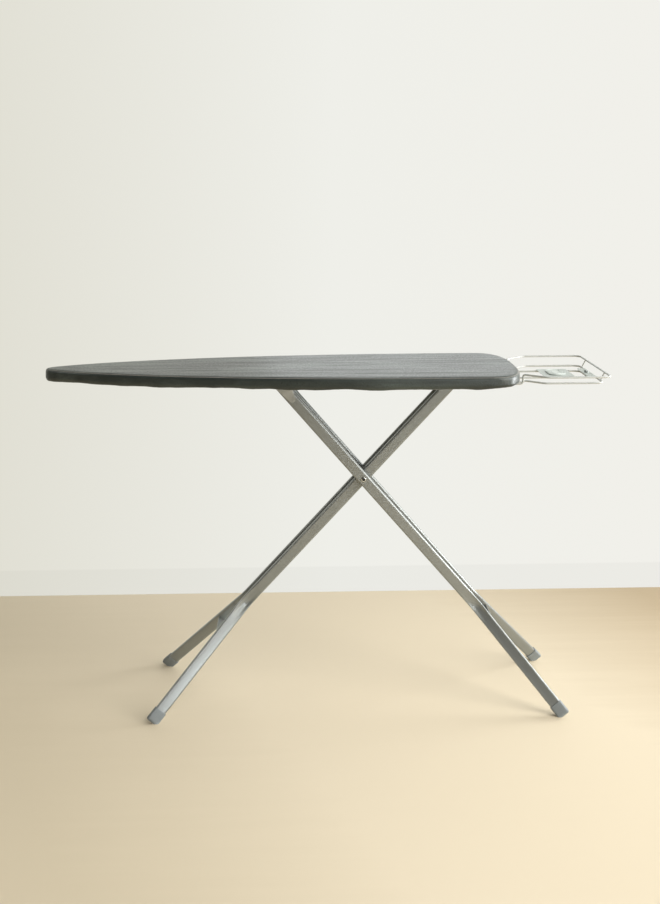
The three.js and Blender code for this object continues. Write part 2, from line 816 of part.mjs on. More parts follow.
// Bent wire: straight runs joined by round bends, swept with one round section
class BentWire extends THREE.Curve {
  constructor(corners, radii) {
    super();
    this.stations = [corners[0].clone()];
    for (let index = 1; index < corners.length - 1; index += 1) {
      const corner = corners[index];
      const back = new THREE.Vector3().subVectors(corners[index - 1], corner).normalize();
      const ahead = new THREE.Vector3().subVectors(corners[index + 1], corner).normalize();
      const reach = radii[index] * Math.tan((Math.PI - back.angleTo(ahead)) / 2);
      const bend = new THREE.QuadraticBezierCurve3(
        corner.clone().addScaledVector(back, reach), corner, corner.clone().addScaledVector(ahead, reach),
      );
      this.stations.push(...bend.getPoints(wireBendSteps));
    }
    this.stations.push(corners.at(-1).clone());
  }

  get count() {
    return this.stations.length - 1;
  }

  getPointAt(share, target = new THREE.Vector3()) {
    return target.copy(this.stations[Math.round(share * this.count)]);
  }

  getTangentAt(share, target = new THREE.Vector3()) {
    const index = Math.round(share * this.count);
    const back = this.stations[Math.max(index - 1, 0)];
    const ahead = this.stations[Math.min(index + 1, this.count)];
    const here = this.stations[index];
    const before = new THREE.Vector3().subVectors(here, back).normalize();
    const after = new THREE.Vector3().subVectors(ahead, here).normalize();
    return target.addVectors(before, after).normalize();
  }
}

function wireGeometry(corners, radii) {
  const path = new BentWire(corners.map((corner) => new THREE.Vector3(...corner)), radii);
  const section = new THREE.Shape(ringPoints(wireRadius, wireSides));
  return new THREE.ExtrudeGeometry(section, { steps: path.count, bevelEnabled: false, extrudePath: path });
}

// Iron rest: each loop is one wire, mirrored about the middle of the board
const wireUnderZ = coverBottom - seatGap - wireRadius;
const lowWireZ = wireUnderZ + lowRise;
const highWireZ = wireUnderZ + highRise;

function loopWire(startY, halfY, topZ, riseFrom, riseTo, flareTo, endX) {
  const half = [
    [tailX - restTailIn, startY, wireUnderZ, 0],
    [riseFrom, startY, wireUnderZ, restBend],
    [riseTo, startY, topZ, restBend],
  ];
  if (flareTo > riseTo) half.push([flareTo, halfY, topZ, restCorner]);
  half.push([endX, halfY, topZ, restCorner]);
  const mirrored = [...half].reverse().map(([x, y, z, radius]) => [x, -y, z, radius]);
  const all = [...half, ...mirrored];
  return wireGeometry(all.map(([x, y, z]) => [x, y, z]), all.map((corner) => corner[3]));
}

function upperRailGeometry() {
  const rise = tailX + seatGap;
  return loopWire(upperStart, upperHalf, highWireZ, rise, rise, tailX + upperFlare, restEndX - wireRadius);
}

function lowerWireGeometry() {
  const from = tailX + seatGap;
  return loopWire(lowerStart, lowerHalf, lowWireZ, from, from + riseRun, tailX + riseRun + lowerFlare,
    restEndX - wireRadius - lowerInset);
}

function innerWireGeometry() {
  const from = tailX + seatGap;
  return loopWire(innerHalf, innerHalf, lowWireZ, from, from + riseRun, 0, restEndX - innerInset);
}

function postGeometry(side) {
  const lowX = restEndX - wireRadius - lowerInset;
  const highX = restEndX - wireRadius;
  const low = new THREE.Vector3(lowX, side * postSpread, lowWireZ);
  const high = new THREE.Vector3(highX, side * postSpread, highWireZ);
  const along = new THREE.Vector3().subVectors(high, low).normalize();
  low.addScaledVector(along, wireRadius + seatGap);
  high.addScaledVector(along, -wireRadius - seatGap);
  const section = new THREE.Shape(ringPoints(postRadius, wireSides));
  const path = new THREE.LineCurve3(low, high);
  return new THREE.ExtrudeGeometry(section, { steps: 1, bevelEnabled: false, extrudePath: path });
}

const plateBottom = lowWireZ + wireRadius + seatGap;
const plateTop = plateBottom + plateThick;

function restPlateGeometry() {
  const from = tailX + plateFrom;
  const shape = roundedRectangle(from, from + plateLength, -plateWidth / 2, plateWidth / 2, plateRound);
  return slab(shape, plateBottom, plateTop);
}

function heatPadGeometry() {
  const centre = tailX + plateFrom + plateLength / 2;
  const shape = roundedRectangle(centre - padWide / 2, centre + padWide / 2, -padLong / 2, padLong / 2,
    padWide / 2);
  const bottom = plateTop + seatGap;
  return slab(shape, bottom, bottom + heatPadThick, heatPadThick / 3, chamferSegments);
}

function endStripGeometry() {
  const to = restEndX - wireRadius - stripFromEnd;
  const shape = roundedRectangle(to - stripWidth, to, -stripLength / 2, stripLength / 2, plateRound);
  return slab(shape, plateBottom, plateTop);
}

function bufferGeometry(order) {
  const centre = restEndX - wireRadius - stripFromEnd - stripWidth / 2;
  const stub = rodAlongZ(bufferRadius, plateTop + seatGap, plateTop + seatGap + bufferHeight, smallSides);
  return stub.translate(centre, order * bufferSpacing / 2, 0);
}

// Clamps that hold the wires under the tail crossbar
const strapTop = wireUnderZ - wireRadius - seatGap;
const strapBottom = strapTop - strapThick;
const tailBarX = tailX - tailBarFromTail;
const tailBarBottom = wireUnderZ + wireRadius + seatGap;
const clampY = (upperStart + lowerStart) / 2;
const screwBore = screwRadius + pinClear;

function strapGeometry(centreY, half) {
  const shape = roundedRectangle(tailBarX - strapWidth / 2, tailBarX + strapWidth / 2, centreY - half,
    centreY + half, strapWidth / 4);
  shape.holes.push(new THREE.Path(ringPoints(screwBore, smallSides, tailBarX, centreY)));
  return slab(shape, strapBottom, strapTop);
}

function screwGeometry(centreY) {
  const headTop = strapBottom - seatGap;
  const headBottom = headTop - screwHeadThick;
  const top = tailBarBottom + crossWall + screwOver;
  const profile = [
    [0, headBottom], [screwHeadEdge, headBottom], [screwHeadRadius, headBottom + screwHeadThick / 2],
    [screwHeadRadius, headTop], [screwRadius, headTop], [screwRadius, top], [0, top],
  ].map(([radius, along]) => new THREE.Vector2(radius, along));
  return new THREE.LatheGeometry(profile, smallSides).rotateX(Math.PI / 2).translate(tailBarX, centreY, 0);
}

function tailCrossbarGeometry() {
  const bar = crossbarGeometry(tailBarX, tailBarBottom);
  const hem = cut(
    slab(boardShape(-cutOver), coverBottom - cutOver, hemTop + seatGap),
    slab(boardShape(hemWidth + seatGap), coverBottom - 2 * cutOver, hemTop + cutOver),
  );
  const holes = [-clampY, 0, clampY].map((y) => (
    rodAlongZ(screwBore, tailBarBottom - cutOver, tailBarBottom + cutOver).translate(tailBarX, y, 0)
  ));
  return cut(bar, hem, ...holes);
}

// Assembly
const board = new THREE.Group();

function add(parent, name, geometry, material) {
  const mesh = new THREE.Mesh(geometry, material);
  mesh.name = name;
  parent.add(mesh);
  return mesh;
}

const sides = [['front', -1], ['back', 1]];

function addBoardTop() {
  add(board, 'cover_fabric', coverGeometry(), coverFinish());
  add(board, 'felt_pad', padGeometry(), feltFinish());
  add(board, 'deck_panel', deckGeometry(), deckFinish());
  add(board, 'rim_frame', rimGeometry(), deckFinish());
  const noseBar = crossbarGeometry(rodNoseX - noseBarFromRod, rimTop - crossHeight);
  add(board, 'crossbar_nose', noseBar, deckFinish());
  add(board, 'crossbar_tail', tailCrossbarGeometry(), deckFinish());
  for (const [word, side] of sides) {
    add(board, `rail_${word}`, railGeometry(side), zincFinish());
    add(board, `stay_${word}_1`, stayGeometry(rodTailX + stayFromRod, side), deckFinish());
    add(board, `stay_${word}_2`, stayGeometry(fixedPinX, side), deckFinish());
  }
}

function addFixedPins() {
  const axle = add(board, 'leg_axle', axleGeometry(), zincFinish());
  axle.position.set(fixedPinX, 0, pinHeight);
  const over = rodBracketThick * 2;
  const rod = add(board, 'lock_rod', rodAlongX(pinRadius, rodNoseX - over, rodTailX + over), zincFinish());
  rod.position.set(0, lockY, lockZ);
  add(board, 'rod_bracket_nose', rodBracketGeometry(rodNoseX, -1), zincFinish());
  add(board, 'rod_bracket_tail', rodBracketGeometry(rodTailX, 1), zincFinish());
}

function addIronRest() {
  add(board, 'rest_upper_rail', upperRailGeometry(), wireFinish());
  add(board, 'rest_lower_wire', lowerWireGeometry(), wireFinish());
  add(board, 'rest_inner_wire', innerWireGeometry(), wireFinish());
  add(board, 'rest_plate', restPlateGeometry(), plateFinish());
  add(board, 'rest_heat_pad', heatPadGeometry(), siliconeFinish());
  add(board, 'rest_end_strip', endStripGeometry(), plateFinish());
  add(board, 'rest_buffer_1', bufferGeometry(-1), bufferFinish());
  add(board, 'rest_buffer_2', bufferGeometry(1), bufferFinish());
  for (const [word, side] of sides) {
    add(board, `rest_post_${word}`, postGeometry(side), wireFinish());
    const strapHalf = upperStart - clampY + strapOver;
    add(board, `clamp_strap_${word}`, strapGeometry(side * clampY, strapHalf), zincFinish());
    add(board, `clamp_screw_${word}`, screwGeometry(side * clampY), zincFinish());
  }
  add(board, 'clamp_strap_middle', strapGeometry(0, innerHalf + strapOver), zincFinish());
  add(board, 'clamp_screw_middle', screwGeometry(0), zincFinish());
}

function addLeg(leg, turn) {
  const group = new THREE.Group();
  group.position.set(pivotX, 0, pivotHeight);
  group.rotation.y = turn;
  board.add(group);
  for (const [word, side] of sides) {
    add(group, `leg_${leg.letter}_tube_${word}`, tubeGeometry(leg, side), tubeFinish());
    add(group, `leg_${leg.letter}_ear_${word}`, earGeometry(leg, side), zincFinish());
    add(group, `leg_${leg.letter}_foot_${word}`, capGeometry(leg, side, group), capFinish());
  }
  add(group, `leg_${leg.letter}_tie`, tieGeometry(leg), tubeFinish());
}

function addPivot() {
  const spacerEnd = innerTubeY - tubeWidth / 2 - seatGap;
  const pivot = new THREE.Group();
  pivot.position.set(pivotX, 0, pivotHeight);
  board.add(pivot);
  add(pivot, 'pivot_bolt', pivotBoltGeometry(), zincFinish());
  add(pivot, 'pivot_nut', pivotNutGeometry(), zincFinish());
  add(pivot, 'pivot_spacer', washerGeometry(-spacerEnd, spacerEnd, pivotHeadRadius), zincFinish());
  const gapFrom = innerTubeY + tubeWidth / 2 + seatGap;
  const gapTo = outerTubeY - tubeWidth / 2 - seatGap;
  add(pivot, 'pivot_washer_front', washerGeometry(-gapTo, -gapFrom, washerRadius), plasticFinish());
  add(pivot, 'pivot_washer_back', washerGeometry(gapFrom, gapTo, washerRadius), plasticFinish());
}

function addSlide() {
  const slide = new THREE.Group();
  slide.position.set(slidePinX, 0, pinHeight);
  board.add(slide);
  add(slide, 'slide_bar', slideBarGeometry(), zincFinish());
  for (const [word, side] of sides) add(slide, `slide_shoe_${word}`, shoeGeometry(side), plasticFinish());
  add(slide, 'lock_housing', housingGeometry(), plasticFinish());
  const spring = add(slide, 'lock_spring', springGeometry(), zincFinish());
  spring.position.set(pocketFrom + seatGap + springWire / 2, lockY, lockRodOverBar);
  const lever = new THREE.Group();
  lever.position.set(leverAt, lockY + leverFulcrum, lockRodOverBar);
  lever.rotation.z = leverRest;
  slide.add(lever);
  const blade = add(lever, 'lock_lever', leverGeometry(), zincFinish());
  blade.position.y = -leverFulcrum;
  const grip = add(lever, 'lock_grip', gripGeometry(), plasticFinish());
  grip.position.y = -leverFulcrum;
}

addBoardTop();
addFixedPins();
addIronRest();
addLeg(outerLeg, outerLeg.angle);
addLeg(innerLeg, Math.PI - innerLeg.angle);
addPivot();
addSlide();

export default board;
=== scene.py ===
# %% [markdown]
# # A folding ironing board
# The board stands on a steel scissor frame. It carries a padded cloth cover, and a wire rest for the iron sits
# at its square end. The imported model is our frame: it fixes each piece's place and the bodies that move.
# We keep its sheet metal, pins and lock parts and give each a finish. The cover, pad, leg tubes, foot caps, rivet
# and iron rest are modelled again with more detail.

# %% Load the frame
import json
import math

import bmesh
import bpy
from mathutils import Matrix, Vector, noise


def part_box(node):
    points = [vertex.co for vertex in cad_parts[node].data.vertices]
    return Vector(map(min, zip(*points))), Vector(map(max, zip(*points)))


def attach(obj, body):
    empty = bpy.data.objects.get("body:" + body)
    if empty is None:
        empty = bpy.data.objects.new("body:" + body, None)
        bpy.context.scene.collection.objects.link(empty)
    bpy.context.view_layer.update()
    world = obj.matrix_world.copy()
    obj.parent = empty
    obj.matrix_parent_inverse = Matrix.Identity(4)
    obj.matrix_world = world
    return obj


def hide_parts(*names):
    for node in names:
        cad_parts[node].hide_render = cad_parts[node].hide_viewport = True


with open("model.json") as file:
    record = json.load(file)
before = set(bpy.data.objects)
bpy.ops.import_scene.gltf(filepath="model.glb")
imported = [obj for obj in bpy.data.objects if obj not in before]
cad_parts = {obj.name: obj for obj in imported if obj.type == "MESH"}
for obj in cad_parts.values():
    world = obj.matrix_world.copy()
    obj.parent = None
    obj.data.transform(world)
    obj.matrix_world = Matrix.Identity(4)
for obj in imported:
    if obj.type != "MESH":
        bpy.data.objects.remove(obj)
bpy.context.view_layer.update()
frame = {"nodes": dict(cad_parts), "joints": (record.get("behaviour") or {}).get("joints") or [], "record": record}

mm = 0.001

# %% [markdown]
# Colours are written as a painter reads them, in sRGB hex. The shader works with linear light, so one function
# turns the first into the second. Another small function adds a node, sets it and links it in one line. A
# colour ramp gets its stops there too. What is the same all over a finish is set on the shader itself.

# %% Colours and nodes
def linear(hex_colour):
    parts = [int(hex_colour[i:i + 2], 16) / 255 for i in (1, 3, 5)]
    return tuple(p / 12.92 if p <= 0.04045 else ((p + 0.055) / 1.055) ** 2.4 for p in parts) + (1.0,)


def add_node(tree, kind, inputs=None, stops=(), **settings):
    made = tree.nodes.new(kind)
    if stops:
        first, last = made.color_ramp.elements
        for point, (at, colour) in ((first, stops[0]), (last, stops[-1])):
            point.position, point.color = at, linear(colour)
        for at, colour in stops[1:-1]:
            made.color_ramp.elements.new(at).color = linear(colour)
    for name, value in settings.items():
        setattr(made, name, value)
    for name, value in (inputs or {}).items():
        if isinstance(value, bpy.types.NodeSocket):
            tree.links.new(value, made.inputs[name])
        else:
            made.inputs[name].default_value = value
    return made


def new_finish(name, fixed=None):
    material = bpy.data.materials.new(name)
    material.use_nodes = True
    tree = material.node_tree
    tree.nodes.clear()
    shader = add_node(tree, "ShaderNodeBsdfPrincipled", fixed)
    output = add_node(tree, "ShaderNodeOutputMaterial")
    tree.links.new(shader.outputs["BSDF"], output.inputs["Surface"])
    return material, tree, shader


def object_pattern(tree, scale):
    place = add_node(tree, "ShaderNodeTexCoord")
    return add_node(tree, "ShaderNodeMapping", {"Vector": place.outputs["Object"], "Scale": scale}).outputs["Vector"]


print("a mid grey in linear light:", round(linear("#808080")[0], 3))

# %% [markdown]
# The cover is satin cotton with a thin coat of aluminium paint, the kind that throws heat back at the linen.
# Seen from above it is dark; seen along the board it shines, which a clear coat over a dark base gives. Thread lines
# run both ways 2.4 mm apart in the bump, coarser than the real 0.4 mm so that they still show. Slubs are the thick
# places in a thread, here 4 mm thick and 13 mm long for the same reason. Streaks about 290 mm long follow the way the
# cloth is drawn. They fade where it turns down, because there it hangs plain. Where it turns down the base colour is
# also darkened, a painted shade on the side of the cover.

# %% Coated cotton of the cover
cover_cloth, tree, shader = new_finish("coated satin cotton",
                                       {"Metallic": 0.15, "IOR": 1.4, "Coat Weight": 0.45, "Coat Roughness": 0.32})
streaks = add_node(tree, "ShaderNodeTexNoise", {"Vector": object_pattern(tree, (3.5, 70, 40)), "Scale": 1.0,
                                                "Detail": 5.0, "Roughness": 0.64})
patches = add_node(tree, "ShaderNodeTexNoise", {"Vector": object_pattern(tree, (4, 9, 9)), "Scale": 1.0, "Detail": 2.0})
faces_up = add_node(tree, "ShaderNodeSeparateXYZ",
                    {"Vector": add_node(tree, "ShaderNodeNewGeometry").outputs["Normal"]})
on_top = add_node(tree, "ShaderNodeMapRange", {"Value": faces_up.outputs["Z"], "From Min": 0.2, "From Max": 0.8})
drawn_there = add_node(tree, "ShaderNodeMapRange",
                       {"Value": on_top.outputs["Result"], "To Min": 0.08, "To Max": 0.9}).outputs["Result"]
# The base colour is darker where the normal turns from up to the side: painted shade on the side of the cover.
side_painted_shade = add_node(tree, "ShaderNodeMapRange",
                 {"Value": on_top.outputs["Result"], "To Min": 0.78, "To Max": 1.0}).outputs["Result"]
mixed = add_node(tree, "ShaderNodeMath", {0: streaks.outputs["Fac"], 1: patches.outputs["Fac"]}, operation="MULTIPLY")
blend = add_node(tree, "ShaderNodeMath", {0: mixed.outputs[0], 1: side_painted_shade}, operation="MULTIPLY")
tone = add_node(tree, "ShaderNodeValToRGB", {"Fac": blend.outputs[0]},
                stops=[(0.15, "#2d3431"), (0.26, "#3e4643"), (0.37, "#525c57")]).outputs["Color"]
tree.links.new(tone, shader.inputs["Base Color"])
slubs = add_node(tree, "ShaderNodeTexNoise", {"Vector": object_pattern(tree, (240, 75, 240)), "Scale": 1.0,
                                              "Detail": 2.0})
threads = add_node(tree, "ShaderNodeMath", {0: streaks.outputs["Fac"], 1: slubs.outputs["Fac"]}, operation="ADD")
gloss = add_node(tree, "ShaderNodeMapRange", {"Value": threads.outputs[0], "From Min": 0.65, "From Max": 1.35,
                                              "To Min": 0.62, "To Max": 0.22})
tree.links.new(gloss.outputs["Result"], shader.inputs["Roughness"])
warp, weft = (add_node(tree, "ShaderNodeTexWave", {"Vector": object_pattern(tree, (1, 1, 1)), "Scale": 130.0,
                                                   "Distortion": 0.6}, wave_type="BANDS", bands_direction=way)
              for way in "XY")
weave = add_node(tree, "ShaderNodeMath", {0: warp.outputs["Fac"], 1: weft.outputs["Fac"]}, operation="ADD")
fine = add_node(tree, "ShaderNodeBump", {"Height": weave.outputs[0], "Strength": 0.12, "Distance": 0.2 * mm})
thick = add_node(tree, "ShaderNodeBump", {"Height": slubs.outputs["Fac"], "Strength": 0.8, "Distance": 1.0 * mm,
                                          "Normal": fine.outputs["Normal"]})
drawn = add_node(tree, "ShaderNodeBump",
                 {"Height": streaks.outputs["Fac"], "Strength": drawn_there, "Distance": 3.2 * mm,
                                          "Normal": thick.outputs["Normal"]})
tree.links.new(drawn.outputs["Normal"], shader.inputs["Normal"])
print("finish:", cover_cloth.name)

# %% [markdown]
# Under the cover lies needled felt: short grey fibres pressed into a mat. It scatters light and never shines.
# Single fibres are too fine to show, so the pattern is of their clumps, 4 mm across.

# %% Needled felt
felt, tree, shader = new_finish("needled grey felt", {"Roughness": 0.95, "Sheen Weight": 0.3})
fibres = add_node(tree, "ShaderNodeTexNoise", {"Vector": object_pattern(tree, (260, 260, 260)), "Scale": 1.0,
                                               "Detail": 4.0, "Roughness": 0.7, "Distortion": 1.5})
tree.links.new(add_node(tree, "ShaderNodeValToRGB", {"Fac": fibres.outputs["Fac"]},
                        stops=[(0.3, "#716e69"), (0.7, "#9a968f")]).outputs["Color"], shader.inputs["Base Color"])
fuzz = add_node(tree, "ShaderNodeBump", {"Height": fibres.outputs["Fac"], "Strength": 0.5, "Distance": 0.6 * mm})
tree.links.new(fuzz.outputs["Normal"], shader.inputs["Normal"])
print("finish:", felt.name)

# %% [markdown]
# The legs are steel tube under a silver lacquer: aluminium flakes in a clear binder. The flakes give a broad
# metallic gleam rather than a mirror. Real ones are far under a millimetre; the grain here is 1.4 mm so that it
# shows at all, and a slow cloud 70 mm across keeps the tone from being even.

# %% Silver lacquer on the legs
leg_lacquer, tree, shader = new_finish("silver flake lacquer", {"Metallic": 0.55})
grain = add_node(tree, "ShaderNodeTexNoise",
                 {"Vector": object_pattern(tree, (700, 700, 700)), "Scale": 1.0, "Detail": 2.0})
cloud = add_node(tree, "ShaderNodeTexNoise",
                 {"Vector": object_pattern(tree, (14, 14, 14)), "Scale": 1.0, "Detail": 2.0})
mixed = add_node(tree, "ShaderNodeMath", {0: grain.outputs["Fac"], 1: cloud.outputs["Fac"]}, operation="ADD")
tree.links.new(add_node(tree, "ShaderNodeValToRGB",
                        {"Fac": add_node(tree, "ShaderNodeMapRange",
                                         {"Value": mixed.outputs[0], "To Min": 0.0, "To Max": 0.5}).outputs["Result"]},
                        stops=[(0.3, "#909493"), (0.7, "#979b99")]).outputs["Color"],
               shader.inputs["Base Color"])
tree.links.new(add_node(tree, "ShaderNodeMapRange",
                        {"Value": grain.outputs["Fac"], "To Min": 0.315, "To Max": 0.345}).outputs["Result"],
               shader.inputs["Roughness"])
flakes = add_node(tree, "ShaderNodeBump", {"Height": grain.outputs["Fac"], "Strength": 0.02, "Distance": 0.1 * mm})
tree.links.new(flakes.outputs["Normal"], shader.inputs["Normal"])
print("finish:", leg_lacquer.name)

# %% [markdown]
# Rails, pins and brackets are bright zinc plate. Zinc dulls in soft clouds, here 22 mm across, and keeps marks
# from rolling, which make its roughness wander. They are 1.7 mm wide here, coarser than real ones, to show.

# %% Zinc plate
zinc, tree, shader = new_finish("bright zinc plate", {"Metallic": 1.0})
marks = add_node(tree, "ShaderNodeTexNoise",
                 {"Vector": object_pattern(tree, (30, 600, 600)), "Scale": 1.0, "Detail": 3.0})
cloud = add_node(tree, "ShaderNodeTexNoise",
                 {"Vector": object_pattern(tree, (45, 45, 45)), "Scale": 1.0, "Detail": 3.0})
tree.links.new(add_node(tree, "ShaderNodeValToRGB", {"Fac": cloud.outputs["Fac"]},
                        stops=[(0.3, "#a5a8a7"), (0.7, "#c3c6c6")]).outputs["Color"], shader.inputs["Base Color"])
tree.links.new(add_node(tree, "ShaderNodeMapRange",
                        {"Value": marks.outputs["Fac"], "To Min": 0.24, "To Max": 0.42}).outputs["Result"],
               shader.inputs["Roughness"])
rolled = add_node(tree, "ShaderNodeBump", {"Height": marks.outputs["Fac"], "Strength": 0.08, "Distance": 0.2 * mm})
tree.links.new(rolled.outputs["Normal"], shader.inputs["Normal"])
print("finish:", zinc.name)

# %% [markdown]
# Deck, rim and crossbars wear a grey powder coat. Powder melts into a skin with a fine orange peel, about one
# bump in 1.5 mm, and a satin gloss.

# %% Grey powder coat
deck_coat, tree, shader = new_finish("grey powder coat")
peel = add_node(tree, "ShaderNodeTexNoise",
                {"Vector": object_pattern(tree, (650, 650, 650)), "Scale": 1.0, "Detail": 2.0})
tint = add_node(tree, "ShaderNodeTexNoise", {"Vector": object_pattern(tree, (8, 8, 8)), "Scale": 1.0, "Detail": 2.0})
tree.links.new(add_node(tree, "ShaderNodeValToRGB", {"Fac": tint.outputs["Fac"]},
                        stops=[(0.3, "#8c9192"), (0.7, "#999e9f")]).outputs["Color"], shader.inputs["Base Color"])
tree.links.new(add_node(tree, "ShaderNodeMapRange",
                        {"Value": peel.outputs["Fac"], "To Min": 0.38, "To Max": 0.55}).outputs["Result"],
               shader.inputs["Roughness"])
skin = add_node(tree, "ShaderNodeBump", {"Height": peel.outputs["Fac"], "Strength": 0.15, "Distance": 0.2 * mm})
tree.links.new(skin.outputs["Normal"], shader.inputs["Normal"])
print("finish:", deck_coat.name)

# %% [markdown]
# Foot caps are moulded polyethylene, blue-grey and waxy, rubbed a little paler where they meet the floor.
# The slides, the lock housing and the grip are a darker, harder plastic with the spark texture of a mould. It is
# drawn 1.1 mm across, coarser than the real 0.1 mm, so that it shows.

# %% Moulded plastics
cap_plastic, tree, shader = new_finish("moulded blue-grey polyethylene")
wax = add_node(tree, "ShaderNodeTexNoise", {"Vector": object_pattern(tree, (70, 70, 70)), "Scale": 1.0, "Detail": 4.0})
height = add_node(tree, "ShaderNodeSeparateXYZ",
                  {"Vector": add_node(tree, "ShaderNodeTexCoord").outputs["Object"]}).outputs["Z"]
rub = add_node(tree, "ShaderNodeMapRange", {"Value": height, "From Min": 0.0, "From Max": 6 * mm, "To Min": 0.75,
                                            "To Max": 0.25}).outputs["Result"]
worn = add_node(tree, "ShaderNodeMath", {0: rub, 1: wax.outputs["Fac"]}, operation="MULTIPLY")
tree.links.new(add_node(tree, "ShaderNodeValToRGB", {"Fac": worn.outputs[0]},
                        stops=[(0.1, "#80878a"), (0.5, "#9ea6a9")]).outputs["Color"], shader.inputs["Base Color"])
tree.links.new(add_node(tree, "ShaderNodeMapRange",
                        {"Value": wax.outputs["Fac"], "To Min": 0.45, "To Max": 0.6}).outputs["Result"],
               shader.inputs["Roughness"])
soft = add_node(tree, "ShaderNodeBump", {"Height": wax.outputs["Fac"], "Strength": 0.1, "Distance": 0.3 * mm})
tree.links.new(soft.outputs["Normal"], shader.inputs["Normal"])

lock_plastic, tree, shader = new_finish("spark-textured grey nylon")
spark = add_node(tree, "ShaderNodeTexNoise",
                 {"Vector": object_pattern(tree, (900, 900, 900)), "Scale": 1.0, "Detail": 2.0})
tree.links.new(add_node(tree, "ShaderNodeValToRGB", {"Fac": spark.outputs["Fac"]},
                        stops=[(0.3, "#54595d"), (0.7, "#676d71")]).outputs["Color"], shader.inputs["Base Color"])
tree.links.new(add_node(tree, "ShaderNodeMapRange",
                        {"Value": spark.outputs["Fac"], "To Min": 0.5, "To Max": 0.68}).outputs["Result"],
               shader.inputs["Roughness"])
rough = add_node(tree, "ShaderNodeBump", {"Height": spark.outputs["Fac"], "Strength": 0.2, "Distance": 0.15 * mm})
tree.links.new(rough.outputs["Normal"], shader.inputs["Normal"])
print("finishes:", cap_plastic.name, "and", lock_plastic.name)

# %% [markdown]
# The rest's wires are dipped in pale polyester, smooth and glossy. Its plate wears an enamel that is a touch
# greener and flatter. The oval pad is silicone and the two buffers are grey rubber, both soft to the eye. The
# coats are uneven over 8 mm on the wire, 3 mm on the plate and 2 mm on the rubbers.

# %% Coats of the iron rest
def coated(name, low, high, gloss, bumps, strength):
    material, tree, shader = new_finish(name)
    uneven = add_node(tree, "ShaderNodeTexNoise",
                      {"Vector": object_pattern(tree, (bumps,) * 3), "Scale": 1.0, "Detail": 3.0})
    tree.links.new(add_node(tree, "ShaderNodeValToRGB", {"Fac": uneven.outputs["Fac"]},
                            stops=[(0.3, low), (0.7, high)]).outputs["Color"], shader.inputs["Base Color"])
    tree.links.new(add_node(tree, "ShaderNodeMapRange",
                            {"Value": uneven.outputs["Fac"], "To Min": gloss - 0.06,
                             "To Max": gloss + 0.08}).outputs["Result"], shader.inputs["Roughness"])
    relief = add_node(tree, "ShaderNodeBump",
                      {"Height": uneven.outputs["Fac"], "Strength": strength, "Distance": 0.3 * mm})
    tree.links.new(relief.outputs["Normal"], shader.inputs["Normal"])
    return material


wire_coat = coated("dipped pale grey polyester", "#bbc0be", "#c9ccca", 0.22, 120, 0.05)
plate_coat = coated("pale green-grey enamel", "#b4bdb8", "#c1c9c4", 0.38, 300, 0.08)
silicone = coated("pale silicone rubber", "#cfd8d3", "#dbe2de", 0.62, 500, 0.15)
buffer_rubber = coated("grey buffer rubber", "#a3a9a8", "#b3b8b6", 0.7, 500, 0.2)
print("finishes of the rest:", wire_coat.name, plate_coat.name, silicone.name)

# %% [markdown]
# Every new piece ends the same way. Its mesh goes into an object at the origin, faces are shaded smooth except over
# sharp edges, it rides one body of the frame, and the plain pieces it stands for are hidden.

# %% Finishing a piece
def finish_piece(bm, name, body, material, stands_for=(), sharp=35):
    mesh = bpy.data.meshes.new(name)
    bm.edges.index_update()
    open_rim = [e.index for e in bm.edges if e.is_boundary]
    bm.to_mesh(mesh)
    bm.free()
    mesh.materials.append(material)
    mesh.shade_smooth()
    mesh.set_sharp_from_angle(angle=math.radians(sharp))
    for at in open_rim:
        mesh.edges[at].use_edge_sharp = True
    piece = bpy.data.objects.new(name, mesh)
    bpy.context.scene.collection.objects.link(piece)
    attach(piece, body)
    if stands_for:
        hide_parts(*stands_for)
    print(f"{name}: {len(mesh.polygons)} faces")
    return piece


def new_vertices(made):
    return [g for g in made["geom"] if isinstance(g, bmesh.types.BMVert)]


def new_ring(made):
    fresh = set(new_vertices(made))
    return [g for g in made["geom"] if isinstance(g, bmesh.types.BMEdge) and set(g.verts) <= fresh]


# %% [markdown]
# The board's outline has three parts: a blunt nose, a long taper and a square end with big soft corners. We
# draw half of it finely and then walk along it in even steps, so that all rings of the cover line up.

# %% Outline of the board
cover_low, cover_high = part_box("cover_fabric")
nose_x, tail_x, half_width = cover_low.x, cover_high.x, cover_high.y
nose_blend, nose_blunt, nose_lead = 60 * mm, 20 * mm, 28 * mm
straight, tail_cap = 220 * mm, 100 * mm
taper_power, corner_power, ring_count = 0.66, 2 / 2.9, 400
taper = tail_x - nose_x - straight


def taper_width(run):
    return half_width * (1 - (1 - min(run / taper, 1)) ** 2) ** taper_power


def half_outline():
    width = taper_width(nose_blend)
    slope = (taper_width(nose_blend + mm) - width) / mm
    a, b = Vector((0, 0)), Vector((0, nose_blunt))
    c, d = Vector((nose_blend - nose_lead, width - slope * nose_lead)), Vector((nose_blend, width))
    points = []
    for t in (i / 60 for i in range(60)):
        points.append(a * (1 - t) ** 3 + b * 3 * t * (1 - t) ** 2 + c * 3 * t * t * (1 - t) + d * t ** 3)
    points += [Vector((nose_blend + i * 4 * mm, taper_width(nose_blend + i * 4 * mm)))
               for i in range(int((tail_x - nose_x - tail_cap - nose_blend) / (4 * mm)))]
    for turn in (math.pi / 2 * i / 160 for i in range(161)):
        points.append(Vector((tail_x - nose_x - tail_cap + tail_cap * math.sin(turn) ** corner_power,
                              half_width * max(math.cos(turn), 0) ** corner_power)))
    return [Vector((nose_x + p.x, p.y)) for p in points]


